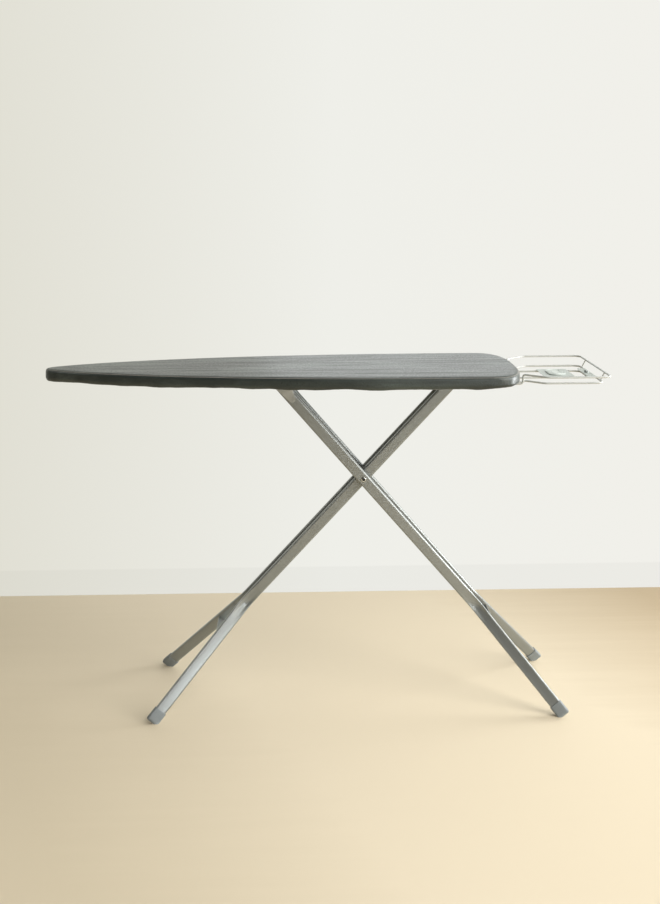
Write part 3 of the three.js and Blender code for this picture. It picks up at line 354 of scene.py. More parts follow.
def even_outline(count):
    half = half_outline()
    whole = half + [Vector((p.x, -p.y)) for p in reversed(half[1:-1])]
    reach = [0.0]
    for p, q in zip(whole, whole[1:] + whole[:1]):
        reach.append(reach[-1] + (q - p).length)
    points, at = [], 0
    for step in range(count):
        want = reach[-1] * step / count
        while reach[at + 1] < want:
            at += 1
        p, q = whole[at], whole[(at + 1) % len(whole)]
        points.append(p.lerp(q, (want - reach[at]) / max(reach[at + 1] - reach[at], 1e-9)))
    return points, reach[-1]


outline, round_length = even_outline(ring_count)
inward = []
for i, p in enumerate(outline):
    along = (outline[(i + 1) % len(outline)] - outline[i - 1]).normalized()
    inward.append(Vector((along.y, -along.x)))
if inward[ring_count // 4].y > 0:
    inward = [-n for n in inward]
print(f"outline: {round_length:.3f} m round, {tail_x - nose_x:.3f} m long, {2 * half_width:.3f} m wide")

# %% [markdown]
# A layer of the board is one circle of vertices laid on the outline and extruded again and again: in under the
# hem, out and up round the side, and in over the top to a line down the middle. One number on each vertex
# remembers its place round the outline, because extruding doesn't keep an order, and another the way gone from
# the hem.

# %% Rings of a board layer
spine_from, spine_to = nose_x + 70 * mm, tail_x - 150 * mm


def lay_ring(vertices, mark, inset, height, toward=0.0):
    for v in vertices:
        i = v[mark]
        p = outline[i] + inward[i] * inset
        spine = Vector((min(max(p.x, spine_from), spine_to), 0))
        p = p.lerp(spine, toward)
        v.co = (p.x, p.y, height)


def board_layer(profile):
    bm = bmesh.new()
    mark = bm.verts.layers.int.new("place")
    run = bm.verts.layers.float.new("run")
    ring = bmesh.ops.create_circle(bm, segments=len(outline), radius=1)["verts"]
    for i, v in enumerate(ring):
        v[mark] = i
    lay_ring(ring, mark, *profile[0])
    edges = list(bm.edges)
    before, length = profile[0], 0.0
    for step in profile[1:]:
        made = bmesh.ops.extrude_edge_only(bm, edges=edges)
        fresh, edges = new_vertices(made), new_ring(made)
        lay_ring(fresh, mark, *step)
        length += math.hypot(step[0] - before[0],
                             step[1] - before[1]) + (step[2] - before[2] if len(step) > 2 else 0) * half_width
        for v in fresh:
            v[run] = length
        before = step
    return bm, mark, run


def arc_steps(centre_in, centre_z, radius, start, end, count):
    turns = [math.radians(start + (end - start) * i / count) for i in range(count + 1)]
    return [(centre_in - radius * math.cos(t), centre_z + radius * math.sin(t), 0.0) for t in turns]


# %% [markdown]
# The cover is cloth drawn over the padded deck and turned under at the rim. Gathers start at the hem, where
# the cloth is too long for the inner edge. They are fuller at the corners and fade up the side. The hem sags by
# up to 5 mm between them, and long shallow wrinkles run down the top. All are vertex moves from a smooth noise,
# outwards on the side, down at the hem and up on top, so that the cloth doesn't cut the felt or the rim.

# %% Cover
top_z, bottom_z, round_edge, hem, cloth = cover_high.z, cover_low.z, 9 * mm, 30 * mm, 1.2 * mm
profile = [(hem - 1 * mm, bottom_z + cloth * 0.5, 0.0)]
profile += [(hem - d * mm, bottom_z, 0.0) for d in (0, 2, 5, 8, 11, 14, 17, 19)]
profile += arc_steps(round_edge, bottom_z + round_edge, round_edge, -90, 0, 7)
profile += [(0.0, z, 0.0) for z in (bottom_z + 12 * mm, bottom_z + 15 * mm, bottom_z + 17.5 * mm)]
profile += arc_steps(round_edge, top_z - round_edge, round_edge, 0, 90, 8)
profile += [(round_edge, top_z, i / 60) for i in range(1, 61)]
bm, mark, run = board_layer(profile)


def ripple(*place):
    return 0.5 + 0.5 * noise.noise(Vector(place))


side_top = top_z - round_edge
reach = 6
drop_from, gather_drop, sag_drop = 0.55, 1.0 * mm, 4.6 * mm
sag_ends, sag_fades = tail_x - 60 * mm, 60 * mm
turns = [inward[i - reach].angle(inward[(i + reach) % len(outline)]) for i in range(len(outline))]
corner_share = [min(1.0, t / 0.5) for t in turns]
for v in bm.verts:
    i = v[mark]
    along = round_length * i / len(outline)
    turn = 2 * math.pi * i / len(outline)
    wide = Vector((math.cos(turn), math.sin(turn))) * round_length / (2 * math.pi)
    if v.co.z < side_top:
        low = (side_top - v.co.z) / (side_top - bottom_z)
        under = max(0.0, ((Vector(v.co.xy) - outline[i]).length - 4 * mm) / hem)
        gather = ripple(wide.x / (11 * mm), wide.y / (11 * mm), 0.3) ** 2
        slow = ripple(wide.x / (70 * mm), wide.y / (70 * mm), 4.0)
        fullness = (0.9 + 2.2 * corner_share[i]) * mm
        out = -inward[i] * (fullness * low * gather + 0.5 * mm * low * slow) * (1 - min(under, 1))
        sag = min(1.0, max(0.0, 0.5 + 2.4 * (slow - 0.5))) * min(1.0, max(0.0, (sag_ends - v.co.x) / sag_fades))
        held_up = 1 - 0.85 * min(1.6 * under, 1)
        drop = (gather_drop * gather + sag_drop * sag) * held_up * max(0.0, low - drop_from) / (1 - drop_from)
        v.co += Vector((out.x, out.y, -drop))
    else:
        flat = min(1.0, max(0.0, ((Vector(v.co.xy) - outline[i]).length - 5 * mm) / (12 * mm)))
        half_here = max(taper_width(v.co.x - nose_x), 20 * mm)
        across = v.co.y / half_here * half_width
        fine_line = ripple(v.co.x / (190 * mm), across / (7 * mm), 1.0) ** 2
        broad_line = ripple(v.co.x / (320 * mm), across / (26 * mm), 7.0)
        v.co.z += flat * (0.5 * mm * fine_line + 0.9 * mm * broad_line)
uv = bm.loops.layers.uv.new("cloth")
for face in bm.faces:
    wraps = {v[mark] for v in face.verts} >= {0, len(outline) - 1}
    for loop in face.loops:
        i = loop.vert[mark] + (len(outline) if wraps and loop.vert[mark] == 0 else 0)
        loop[uv].uv = (round_length * i / len(outline), loop.vert[run])
bmesh.ops.remove_doubles(bm, verts=bm.verts, dist=0.05 * mm)
bmesh.ops.recalc_face_normals(bm, faces=bm.faces)
if sum(f.normal.z * f.calc_area() for f in bm.faces if f.calc_center_median().z > side_top) < 0:
    bmesh.ops.reverse_faces(bm, faces=bm.faces)
skin_area = sum(f.calc_area() for f in bm.faces)
cover = finish_piece(bm, "cloth_cover", "board", cover_cloth, ["cover_fabric"], sharp=60)
wall = cover.modifiers.new("cloth thickness", "SOLIDIFY")
wall.thickness, wall.offset = cloth, -1
print(f"cover: {skin_area:.3f} square metres of cloth")

# %% [markdown]
# The felt pad is the same outline again, a little smaller, with a flat underside on the deck and a rolled edge.

# %% Felt pad
pad_low, pad_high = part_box("felt_pad")
pad_in = pad_low.x - nose_x
profile = [(pad_in + 3.0 * mm, pad_low.z, 1 - i / 12) for i in range(13)]
profile += arc_steps(pad_in + 2.5 * mm, (pad_low.z + pad_high.z) / 2, 2.5 * mm, -90, 90, 6)
profile += [(pad_in + 3.0 * mm, pad_high.z, i / 30) for i in range(1, 31)]
bm = board_layer(profile)[0]
for v in bm.verts:
    if v.co.z > pad_high.z - 0.1 * mm:
        v.co.z -= 0.25 * mm * ripple(v.co.x / (40 * mm), v.co.y / (40 * mm), 2.0)
bmesh.ops.remove_doubles(bm, verts=bm.verts, dist=0.05 * mm)
bmesh.ops.recalc_face_normals(bm, faces=bm.faces)
pad = finish_piece(bm, "felt_padding", "board", felt, ["felt_pad"], sharp=60)

# %% [markdown]
# Both leg tubes and wires are one ring of vertices swept along a path. At each station a matrix says where the
# ring stands and which way it looks; extruding the ring and moving the copy there makes the next length.

# %% Sweeping a ring along a path
def sweep(bm, edges, places):
    here = places[0]
    bmesh.ops.transform(bm, matrix=here, verts=list({v for e in edges for v in e.verts}))
    ends = [edges]
    for place in places[1:]:
        made = bmesh.ops.extrude_edge_only(bm, edges=edges)
        bmesh.ops.transform(bm, matrix=place @ here.inverted(), verts=new_vertices(made))
        edges, here = new_ring(made), place
    return ends + [edges]


def facing(point, direction, up):
    forward = direction.normalized()
    side = up.cross(forward).normalized()
    return Matrix((side, forward.cross(side), forward)).transposed().to_4x4(), point


def along_path(points, radii, bend_steps=8):
    line = [points[0]]
    for before, corner, after, radius in zip(points, points[1:], points[2:], radii):
        back, ahead = (before - corner).normalized(), (after - corner).normalized()
        half = back.angle(ahead) / 2
        reach, centre = radius / math.tan(half), corner + (back + ahead).normalized() * radius / math.sin(half)
        start, end = corner + back * reach - centre, corner + ahead * reach - centre
        line += [centre + start.slerp(end, i / bend_steps).normalized() * radius for i in range(bend_steps + 1)]
    return line + [points[-1]]


def path_places(line):
    places, up = [], None
    for i, point in enumerate(line):
        before = (point - line[i - 1]).normalized() if i else None
        after = (line[i + 1] - point).normalized() if i + 1 < len(line) else None
        way = ((before or after) + (after or before)).normalized()
        if up is None:
            up = Vector((0, 0, 1)) if abs(way.z) < 0.9 else Vector((1, 0, 0))
        up = (up - way * up.dot(way)).normalized()
        turned, at = facing(point, way, up)
        places.append(Matrix.Translation(at) @ turned)
    return places


# %% [markdown]
# A leg tube is a flat oval, 30 mm deep and 15 mm wide. Its ring starts as one quad whose corners are bevelled
# round. Below the pivot the tube bends outwards, and the press leaves a dish in the outer face, 118 mm long,
# 30 mm high and 6 mm deep. It is deepest in the middle and runs out to a crisp end both ways.

# %% Leg tubes
pivot_place = Vector(next(j["pos_m"] for j in frame["joints"] if j["name"] == "scissor"))
fold_place = Vector(next(j["pos_m"] for j in frame["joints"] if j["name"] == "fold"))
turn_of = {j["name"]: max(abs(a) for a in j["range_deg"]) for j in frame["joints"]}
tube_deep, tube_wide, tube_round, tube_wall, pin_offset = 30 * mm, 15 * mm, 4.5 * mm, 1.3 * mm, 20.5 * mm
bend_at, bend_radius, foot_half = 470 * mm, 90 * mm, 182.5 * mm
dish_long, dish_high, dish_deep, dish_shift = 118 * mm, 30 * mm, 6.0 * mm, 8 * mm
sides = (("front", -1), ("back", 1))


def leg_plan(angle, tube_y, turn):
    arm = (fold_place.z - pivot_place.z - pin_offset * math.cos(angle)) / math.sin(angle)
    foot = pivot_place.z / math.sin(angle)
    flare = math.atan2(foot_half - tube_y, foot - bend_at)
    placed = Matrix.Translation(pivot_place) @ Matrix.Rotation(turn, 4, "Y")
    return {"arm": arm, "foot": foot, "flare": flare, "tube_y": tube_y, "placed": placed}


angle_a, angle_b = math.radians(turn_of["carriage"]), math.radians(turn_of["fold"])
legs = {"a": leg_plan(angle_a, 36.3 * mm, angle_a), "b": leg_plan(angle_b, 18.7 * mm, math.pi - angle_b)}


def tube_line(leg):
    lead, flare = bend_radius * math.tan(leg["flare"] / 2), leg["flare"]
    line = [(-leg["arm"] - 12 * mm, leg["tube_y"], 0.0), (bend_at - lead - 40 * mm, leg["tube_y"], 0.0)]
    line += [(bend_at - lead - d * mm, leg["tube_y"], 0.0) for d in range(36, 0, -3)]
    for turn in (flare * i / 14 for i in range(15)):
        line.append((bend_at - lead + bend_radius * math.sin(turn),
                     leg["tube_y"] + bend_radius * (1 - math.cos(turn)), turn))
    run = (leg["foot"] - bend_at) / math.cos(flare) - 17.3 * mm
    for far in [lead + d * mm for d in range(3, 42, 3)] + [run]:
        line.append((bend_at + far * math.cos(flare), leg["tube_y"] + far * math.sin(flare), flare))
    return line


def tube_ring(bm):
    made = bmesh.ops.create_grid(bm, x_segments=1, y_segments=1, size=0.5)
    bmesh.ops.scale(bm, vec=(tube_wide, tube_deep, 1), verts=made["verts"])
    bmesh.ops.bevel(bm, geom=made["verts"], affect="VERTICES", offset=tube_round, segments=6, profile=0.5,
                    offset_type="OFFSET", material=-1)
    bmesh.ops.delete(bm, geom=list(bm.faces), context="FACES_ONLY")
    long_edges = [e for e in bm.edges if e.calc_length() > tube_wide * 0.9]
    bmesh.ops.subdivide_edges(bm, edges=long_edges, cuts=13)
    return list(bm.edges)


def press_dish(bm, leg, side):
    flare = leg["flare"]
    outward = bend_radius / math.cos(flare / 2) - bend_radius + tube_wide / 2
    middle = Vector((bend_at - outward * math.sin(flare / 2), side * (leg["tube_y"] + outward * math.cos(flare / 2)),
                     0))
    run_way = Vector((math.cos(flare / 2), side * math.sin(flare / 2), 0))
    press = Vector((math.sin(flare / 2), -side * math.cos(flare / 2), 0))
    for v in bm.verts:
        off = v.co - middle - run_way * dish_shift
        long_share, high_share = abs(off.dot(run_way)) / (dish_long / 2), abs(v.co.z) / (dish_high / 2)
        if long_share < 1 and high_share < 1 and off.dot(press) < tube_wide * 0.5:
            fall = (1 - long_share ** 1.35) * (1 - high_share ** 3)
            v.co += press * dish_deep * fall


def make_tube(letter, word, side):
    leg = legs[letter]
    bm = bmesh.new()
    places = []
    for x, y, turn in tube_line(leg):
        way = Vector((math.cos(turn), side * math.sin(turn), 0))
        turned, at = facing(Vector((x, side * y, 0)), way, Vector((0, 0, 1)))
        places.append(Matrix.Translation(at) @ turned)
    sweep(bm, tube_ring(bm), places)
    press_dish(bm, leg, side)
    bmesh.ops.transform(bm, matrix=leg["placed"], verts=bm.verts)
    bmesh.ops.recalc_face_normals(bm, faces=bm.faces)
    node = f"leg_{letter}_tube_{word}"
    piece = finish_piece(bm, f"{node}_pressed", f"leg_{letter}", leg_lacquer, [node])
    thick = piece.modifiers.new("tube wall", "SOLIDIFY")
    thick.thickness, thick.offset = tube_wall, -1


for letter in legs:
    for word, side in sides:
        make_tube(letter, word, side)

# %% [markdown]
# A foot cap is a block pushed over the tube's end. The block's sole end is rounded in two bevels, its mouth
# keeps a crisp lip, the mouth face is inset and sunk to hold the tube, and a plane cuts the sole flat.

# %% Foot caps
cap_long, cap_wall, cap_rise, cap_pocket = 38 * mm, 2 * mm, 4 * mm, 25 * mm


def make_cap(letter, word, side):
    leg = legs[letter]
    bm = bmesh.new()
    bmesh.ops.create_cube(bm, size=1)
    bmesh.ops.scale(bm, vec=(cap_long, tube_wide + 2 * cap_wall, tube_deep + 2 * cap_wall), verts=bm.verts)
    bmesh.ops.translate(bm, vec=(-cap_long / 2, 0, 0), verts=bm.verts)
    sole_edges = [e for e in bm.edges if all(v.co.x > -mm for v in e.verts)
                  and abs(e.verts[0].co.z - e.verts[1].co.z) > mm]
    bmesh.ops.bevel(bm, geom=sole_edges, affect="EDGES", offset=7 * mm, segments=6, profile=0.5, material=-1)
    rims = [e for e in bm.edges if abs(e.verts[0].co.z - e.verts[1].co.z) < 0.1 * mm
            and any(v.co.x > -cap_long + mm for v in e.verts)
            and abs(abs(e.verts[0].co.z) - tube_deep / 2 - cap_wall) < 0.1 * mm]
    bmesh.ops.bevel(bm, geom=rims, affect="EDGES", offset=5 * mm, segments=5, profile=0.5, material=-1)
    mouth = [f for f in bm.faces if f.normal.x < -0.9 and f.calc_center_median().x < -cap_long + mm]
    bmesh.ops.inset_region(bm, faces=mouth, thickness=0.6 * mm, depth=0.6 * mm, use_even_offset=True)
    bmesh.ops.inset_region(bm, faces=mouth, thickness=1.1 * mm, use_even_offset=True)
    made = bmesh.ops.extrude_face_region(bm, geom=mouth)
    bmesh.ops.translate(bm, vec=(cap_pocket, 0, 0), verts=new_vertices(made))
    bmesh.ops.delete(bm, geom=mouth, context="FACES_ONLY")
    bmesh.ops.transform(bm, matrix=leg["placed"] @ Matrix.Translation((leg["foot"], side * foot_half, 0))
                        @ Matrix.Rotation(side * leg["flare"], 4, "Z") @ Matrix.Translation((-cap_rise, 0, 0)),
                        verts=bm.verts)
    sliced = bmesh.ops.bisect_plane(bm, geom=list(bm.verts) + list(bm.edges) + list(bm.faces), plane_co=(0, 0, 0),
                                    plane_no=(0, 0, -1), clear_outer=True)
    bmesh.ops.edgeloop_fill(bm, edges=[g for g in sliced["geom_cut"] if isinstance(g, bmesh.types.BMEdge)])
    bmesh.ops.recalc_face_normals(bm, faces=bm.faces)
    node = f"leg_{letter}_foot_{word}"
    finish_piece(bm, f"{node}_cap", f"leg_{letter}", cap_plastic, [node], sharp=28)


for letter in legs:
    for word, side in sides:
        make_cap(letter, word, side)

# %% [markdown]
# The rivet at the pivot is turned: a small profile spun about the pin's axis. A black plug sits in the shallow bore of
# its head as painted shade for the dark bore, and the polished lip round the plug is the one bright ring where the legs
# cross.

# %% Pivot rivet
bolt_low, bolt_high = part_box("pivot_bolt")
face_y = bolt_low.y + 2.4 * mm
nickel, tree, shader = new_finish("polished nickel", {"Metallic": 1.0})
polish = add_node(tree, "ShaderNodeTexNoise", {"Vector": object_pattern(tree, (300, 300, 300)), "Scale": 1.0})
tree.links.new(add_node(tree, "ShaderNodeValToRGB", {"Fac": polish.outputs["Fac"]},
                        stops=[(0.3, "#d6d8d4"), (0.7, "#e4e5e1")]).outputs["Color"], shader.inputs["Base Color"])
tree.links.new(add_node(tree, "ShaderNodeMapRange",
                        {"Value": polish.outputs["Fac"], "To Min": 0.12, "To Max": 0.2}).outputs["Result"],
               shader.inputs["Roughness"])
# This black finish is painted shade for the inside of the rivet's bore.
nylon_painted_bore_shade = coated("black nylon as painted bore shade", "#141516", "#1d1f20", 0.6, 500, 0.1)


def spun(points, centre, axis, steps):
    bm = bmesh.new()
    chain = [bm.verts.new(p) for p in points]
    edges = [bm.edges.new(pair) for pair in zip(chain, chain[1:])]
    bmesh.ops.spin(bm, geom=chain + edges, cent=centre, axis=axis, angle=2 * math.pi, steps=steps, use_merge=True)
    bmesh.ops.remove_doubles(bm, verts=bm.verts, dist=0.01 * mm)
    bmesh.ops.recalc_face_normals(bm, faces=bm.faces)
    return bm


def turned_piece(name, steps, finish):
    points = [(pivot_place.x + r * mm, y, pivot_place.z) for r, y in steps]
    finish_piece(spun(points, pivot_place, (0, 1, 0), 40), name, "leg_b", finish, ["pivot_bolt"], sharp=30)


lip = [(4.3, 0.3), (4.6, 0.0), (5.2, 0.0), (5.8, 0.3), (6.4, 0.9), (6.8, 1.6)]
turned_piece("pivot_rivet", [(0.0, bolt_low.y + 2 * mm), (4.1, bolt_low.y + 2 * mm), (4.1, bolt_low.y + 0.6 * mm)]
             + [(r, bolt_low.y + y * mm) for r, y in lip]
             + [(6.9, face_y), (4.0, face_y), (4.0, bolt_high.y - 0.5 * mm), (3.5, bolt_high.y), (0.0, bolt_high.y)],
             nickel)
# The black plug is painted shade: it stands for the dark inside the rivet's bore.
turned_piece("pivot_plug_painted_shade", [(0.0, bolt_low.y + 0.5 * mm), (3.4, bolt_low.y + 0.5 * mm), (3.9, bolt_low.y + 0.9 * mm),
                            (3.9, bolt_low.y + 1.9 * mm), (0.0, bolt_low.y + 1.9 * mm)], nylon_painted_bore_shade)

# %% [markdown]
# The iron rest is bent from 5 mm wire. Each loop is half a list of corners with a bend radius, mirrored about
# the middle, so both sides match. A ring of sixteen vertices is swept along it and the ends are capped. The two
# posts are straight, from 4 mm wire.

# %% Iron rest wires
low_box, high_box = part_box("rest_lower_wire"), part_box("rest_upper_rail")
wire_radius = 2.5 * mm
under_z = low_box[0].z + wire_radius
low_z, high_z = low_box[1].z - wire_radius, high_box[1].z - wire_radius
wire_start, rest_end = tail_x - 66 * mm, high_box[1].x - wire_radius


def make_wire(name, points, radii, radius, node):
    bm = bmesh.new()
    bmesh.ops.create_circle(bm, segments=16, radius=radius)
    line = along_path([Vector(p) for p in points], radii)
    for end in sweep(bm, list(bm.edges), path_places(line)):
        bmesh.ops.edgeloop_fill(bm, edges=end)
    bmesh.ops.recalc_face_normals(bm, faces=bm.faces)
    finish_piece(bm, name, "board", wire_coat, [node], sharp=50)


def loop_wire(name, half, node):
    whole = half + [((x, -y, z), r) for (x, y, z), r in reversed(half)]
    make_wire(name, [p for p, r in whole], [r for p, r in whole[1:-1]], wire_radius, node)


rise = tail_x + 0.3 * mm
loop_wire("rest_upper_wire_bent", [
    ((wire_start, 118 * mm, under_z), 0), ((rise, 118 * mm, under_z), 7 * mm), ((rise, 118 * mm, high_z), 7 * mm),
    ((tail_x + 54 * mm, 166 * mm, high_z), 20 * mm), ((rest_end, 166 * mm, high_z), 20 * mm)], "rest_upper_rail")
loop_wire("rest_lower_wire_bent", [
    ((wire_start, 92 * mm, under_z), 0), ((rise, 92 * mm, under_z), 7 * mm), ((rise + 12 * mm, 92 * mm, low_z), 7 * mm),
    ((tail_x + 55 * mm, 130 * mm, low_z), 20 * mm), ((rest_end - 10 * mm, 130 * mm, low_z), 20 * mm)],
          "rest_lower_wire")
loop_wire("rest_inner_wire_bent", [
    ((wire_start, 47 * mm, under_z), 0), ((rise, 47 * mm, under_z), 7 * mm), ((rise + 12 * mm, 47 * mm, low_z), 7 * mm),
    ((tail_x + 184 * mm, 47 * mm, low_z), 20 * mm)], "rest_inner_wire")
for word, side in sides:
    low, high = Vector((rest_end - 10 * mm, side * 97 * mm, low_z)), Vector((rest_end, side * 97 * mm, high_z))
    step = (high - low).normalized() * (wire_radius + 0.1 * mm)
    make_wire(f"rest_post_{word}_bent", [low + step, high - step], [], 2 * mm, f"rest_post_{word}")

# %% [markdown]
# The plate that carries the iron is pressed from sheet: a rounded rectangle with its edge turned down and its
# middle sunk 0.4 mm inside a flat border. We inset one face again and again and move each new loop up or down.
# The oval pad gets its four ribs the same way, and the two buffers are spun.

# %% Rest plate, oval pad and end strip
def rounded_plate(bm, low, high, z, corner, segments=6):
    made = bmesh.ops.create_grid(bm, x_segments=1, y_segments=1, size=0.5)
    bmesh.ops.scale(bm, vec=(high.x - low.x, high.y - low.y, 1), verts=made["verts"])
    bmesh.ops.translate(bm, vec=((low.x + high.x) / 2, (low.y + high.y) / 2, z), verts=made["verts"])
    bmesh.ops.bevel(bm, geom=made["verts"], affect="VERTICES", offset=corner, segments=segments, profile=0.5,
                    offset_type="OFFSET", material=-1)
    return list(bm.faces)


def step_in(bm, faces, thickness, lift):
    bmesh.ops.inset_region(bm, faces=faces, thickness=thickness, use_even_offset=True)
    bmesh.ops.translate(bm, vec=(0, 0, lift), verts=list({v for f in faces for v in f.verts}))


def pressed_sheet(bm, name, node):
    bmesh.ops.recalc_face_normals(bm, faces=bm.faces)
    if sum(f.normal.z * f.calc_area() for f in bm.faces) < 0:
        bmesh.ops.reverse_faces(bm, faces=bm.faces)
    piece = finish_piece(bm, name, "board", plate_coat, [node], sharp=25)
    gauge = piece.modifiers.new("sheet gauge", "SOLIDIFY")
    gauge.thickness, gauge.offset = 0.7 * mm, -1


plate_low, plate_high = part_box("rest_plate")
bm = bmesh.new()
faces = rounded_plate(bm, plate_low, plate_high, plate_high.z - 0.9 * mm, 6 * mm)
step_in(bm, faces, 0.8 * mm, 0.9 * mm)
step_in(bm, faces, 5 * mm, 0)
step_in(bm, faces, 1.5 * mm, -0.4 * mm)
pressed_sheet(bm, "rest_plate_pressed", "rest_plate")

pad_low, pad_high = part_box("rest_heat_pad")
bm = bmesh.new()
faces = rounded_plate(bm, pad_low, pad_high, pad_low.z, (pad_high.x - pad_low.x) / 2 - 0.2 * mm, 14)
bmesh.ops.remove_doubles(bm, verts=bm.verts, dist=0.6 * mm)
faces = list(bm.faces)
bmesh.ops.reverse_faces(bm, faces=[f for f in faces if f.normal.z < 0])
made = bmesh.ops.extrude_face_region(bm, geom=faces)
top = [g for g in made["geom"] if isinstance(g, bmesh.types.BMFace)]
bmesh.ops.translate(bm, vec=(0, 0, pad_high.z - pad_low.z - 0.5 * mm), verts=new_vertices(made))
step_in(bm, top, 0.5 * mm, 0.5 * mm)
for _ in range(4):
    step_in(bm, top, 1.4 * mm, 0)
    step_in(bm, top, 0.35 * mm, -0.45 * mm)
    step_in(bm, top, 1.0 * mm, 0)
    step_in(bm, top, 0.35 * mm, 0.45 * mm)
bmesh.ops.recalc_face_normals(bm, faces=bm.faces)
finish_piece(bm, "rest_heat_pad_ribbed", "board", silicone, ["rest_heat_pad"], sharp=40)

strip_low, strip_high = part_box("rest_end_strip")
bm = bmesh.new()
faces = rounded_plate(bm, strip_low, strip_high, strip_high.z - 0.9 * mm, 6 * mm)
step_in(bm, faces, 0.8 * mm, 0.9 * mm)
pressed_sheet(bm, "rest_end_strip_pressed", "rest_end_strip")

for order in (1, 2):
    node = f"rest_buffer_{order}"
    low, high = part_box(node)
    centre, radius = (low + high) / 2, (high.x - low.x) / 2
    points = [(centre.x + r * radius, centre.y, low.z + h * (high.z - low.z))
              for r, h in ((0, 0), (0.96, 0), (1, 0.08), (1, 0.6), (0.93, 0.85), (0.7, 0.98), (0.4, 1), (0, 1))]
    bm = spun(points, centre, (0, 0, 1), 28)
    finish_piece(bm, f"{node}_moulded", "board", buffer_rubber, [node])

# %% [markdown]
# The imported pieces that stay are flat-sided sheet and turned parts. Each gets its finish, and three modifiers
# that leave its mesh alone: Weld joins its loose triangles, Bevel breaks the edges as a press or file would,
# and Weighted Normal keeps the broad faces flat.

# %% Finishes of the kept pieces
finish_of_slot = {"deck_steel": deck_coat, "leg_steel": leg_lacquer, "zinc": zinc, "cap_plastic": cap_plastic,
                  "lock_plastic": lock_plastic, "wire": wire_coat, "plate": plate_coat, "silicone": silicone,
                  "buffer_rubber": buffer_rubber, "cover": cover_cloth, "felt": felt}
edge_of_slot = {"deck_steel": 0.5, "leg_steel": 0.5, "zinc": 0.35, "lock_plastic": 0.6}
slot_of_node = {s["node"]: s["material_slot"] for s in frame["record"]["subparts"]}
for node, piece in frame["nodes"].items():
    slot = slot_of_node[node]
    piece.data.materials.clear()
    piece.data.materials.append(finish_of_slot[slot])
    if piece.hide_render:
        continue
    piece.data.shade_smooth()
    weld = piece.modifiers.new("join triangles", "WELD")
    weld.merge_threshold = 0.005 * mm
    edge = piece.modifiers.new("broken edges", "BEVEL")
    edge.width, edge.segments = edge_of_slot.get(slot, 0.3) * mm, 2
    edge.limit_method, edge.angle_limit = "ANGLE", math.radians(40)
    edge.harden_normals = True
    piece.modifiers.new("flat faces", "WEIGHTED_NORMAL").keep_sharp = True
print("kept pieces:", sum(not p.hide_render for p in frame["nodes"].values()))

# %% [markdown]

# %% [markdown]
# The studio has a matt warm floor with faint streaks 45 mm wide, seven soft lamps, and a world that lights like a
# room with its window on the right. In the photograph a pale wall stands behind the board. A backdrop in the
# world stands for it, seen by the camera, by transmission and by the shiny rays that look to the back; no
# diffuse light comes from it. Past the wall's line the floor is clear to such rays, with a faint band for the
# skirting. Nearer by it is plain paint and takes the board's shadow.

# %% Studio
floor_bm = bmesh.new()
bmesh.ops.create_grid(floor_bm, x_segments=1, y_segments=1, size=9)
floor_mesh = bpy.data.meshes.new("studio_floor")
floor_bm.to_mesh(floor_mesh)
floor_bm.free()
floor = bpy.data.objects.new("studio_floor", floor_mesh)
bpy.context.scene.collection.objects.link(floor)
floor_paint, tree, shader = new_finish("matt studio floor", {"Roughness": 0.7, "Specular IOR Level": 0.1})
wall_line, skirting_line = 0.755, 1.0
place = add_node(tree, "ShaderNodeTexCoord").outputs["Object"]
where = add_node(tree, "ShaderNodeSeparateXYZ", {"Vector": place})
# The floor's paint darkens towards the left front and most towards the far right: painted shade where the window light
# falls off. The faint streaks added to it are grain.
corner = add_node(tree, "ShaderNodeVectorMath", {0: place, 1: (0.45, 0.2, 0)}, operation="DOT_PRODUCT")
boards = add_node(tree, "ShaderNodeTexNoise", {"Vector": object_pattern(tree, (1.5, 22, 1)), "Scale": 1.0,
                                               "Detail": 5.0, "Roughness": 0.6})
faint = add_node(tree, "ShaderNodeMapRange", {"Value": boards.outputs["Fac"], "To Min": -0.05, "To Max": 0.05})
falloff_and_grain = add_node(tree, "ShaderNodeMath", {0: corner.outputs["Value"], 1: faint.outputs["Result"]}, operation="ADD")
tone = add_node(tree, "ShaderNodeMapRange", {"Value": falloff_and_grain.outputs[0], "From Min": -0.42, "From Max": 0.63})
tree.links.new(add_node(tree, "ShaderNodeValToRGB", {"Fac": tone.outputs["Result"]},
                        stops=[(0.0, "#d5c8ae"), (0.3, "#e3d6bd"), (0.69, "#dfd2b9"),
                               (1.0, "#bba98c")]).outputs["Color"], shader.inputs["Base Color"])
skirting = add_node(tree, "ShaderNodeMapRange",
                    {"Value": where.outputs["Y"], "From Min": skirting_line, "From Max": skirting_line + 0.02,
                                                 "To Min": 0.955, "To Max": 1.0})
clear = add_node(tree, "ShaderNodeBsdfTransparent", {"Color": skirting.outputs["Result"]})
far = add_node(tree, "ShaderNodeMath", {0: where.outputs["Y"], 1: wall_line}, operation="GREATER_THAN")
rays = add_node(tree, "ShaderNodeLightPath")
seen = add_node(tree, "ShaderNodeMath", {0: rays.outputs["Is Camera Ray"], 1: rays.outputs["Is Glossy Ray"]},
                operation="MAXIMUM")
direct = add_node(tree, "ShaderNodeMath", {0: seen.outputs[0], 1: rays.outputs["Is Transmission Ray"]},
                  operation="MAXIMUM")
gone = add_node(tree, "ShaderNodeMath", {0: direct.outputs[0], 1: far.outputs[0]}, operation="MULTIPLY")
both = add_node(tree, "ShaderNodeMixShader",
                {"Fac": gone.outputs[0], 1: shader.outputs["BSDF"], 2: clear.outputs["BSDF"]})
tree.links.new(both.outputs["Shader"], next(n for n in tree.nodes if n.type == "OUTPUT_MATERIAL").inputs["Surface"])
floor_mesh.materials.append(floor_paint)

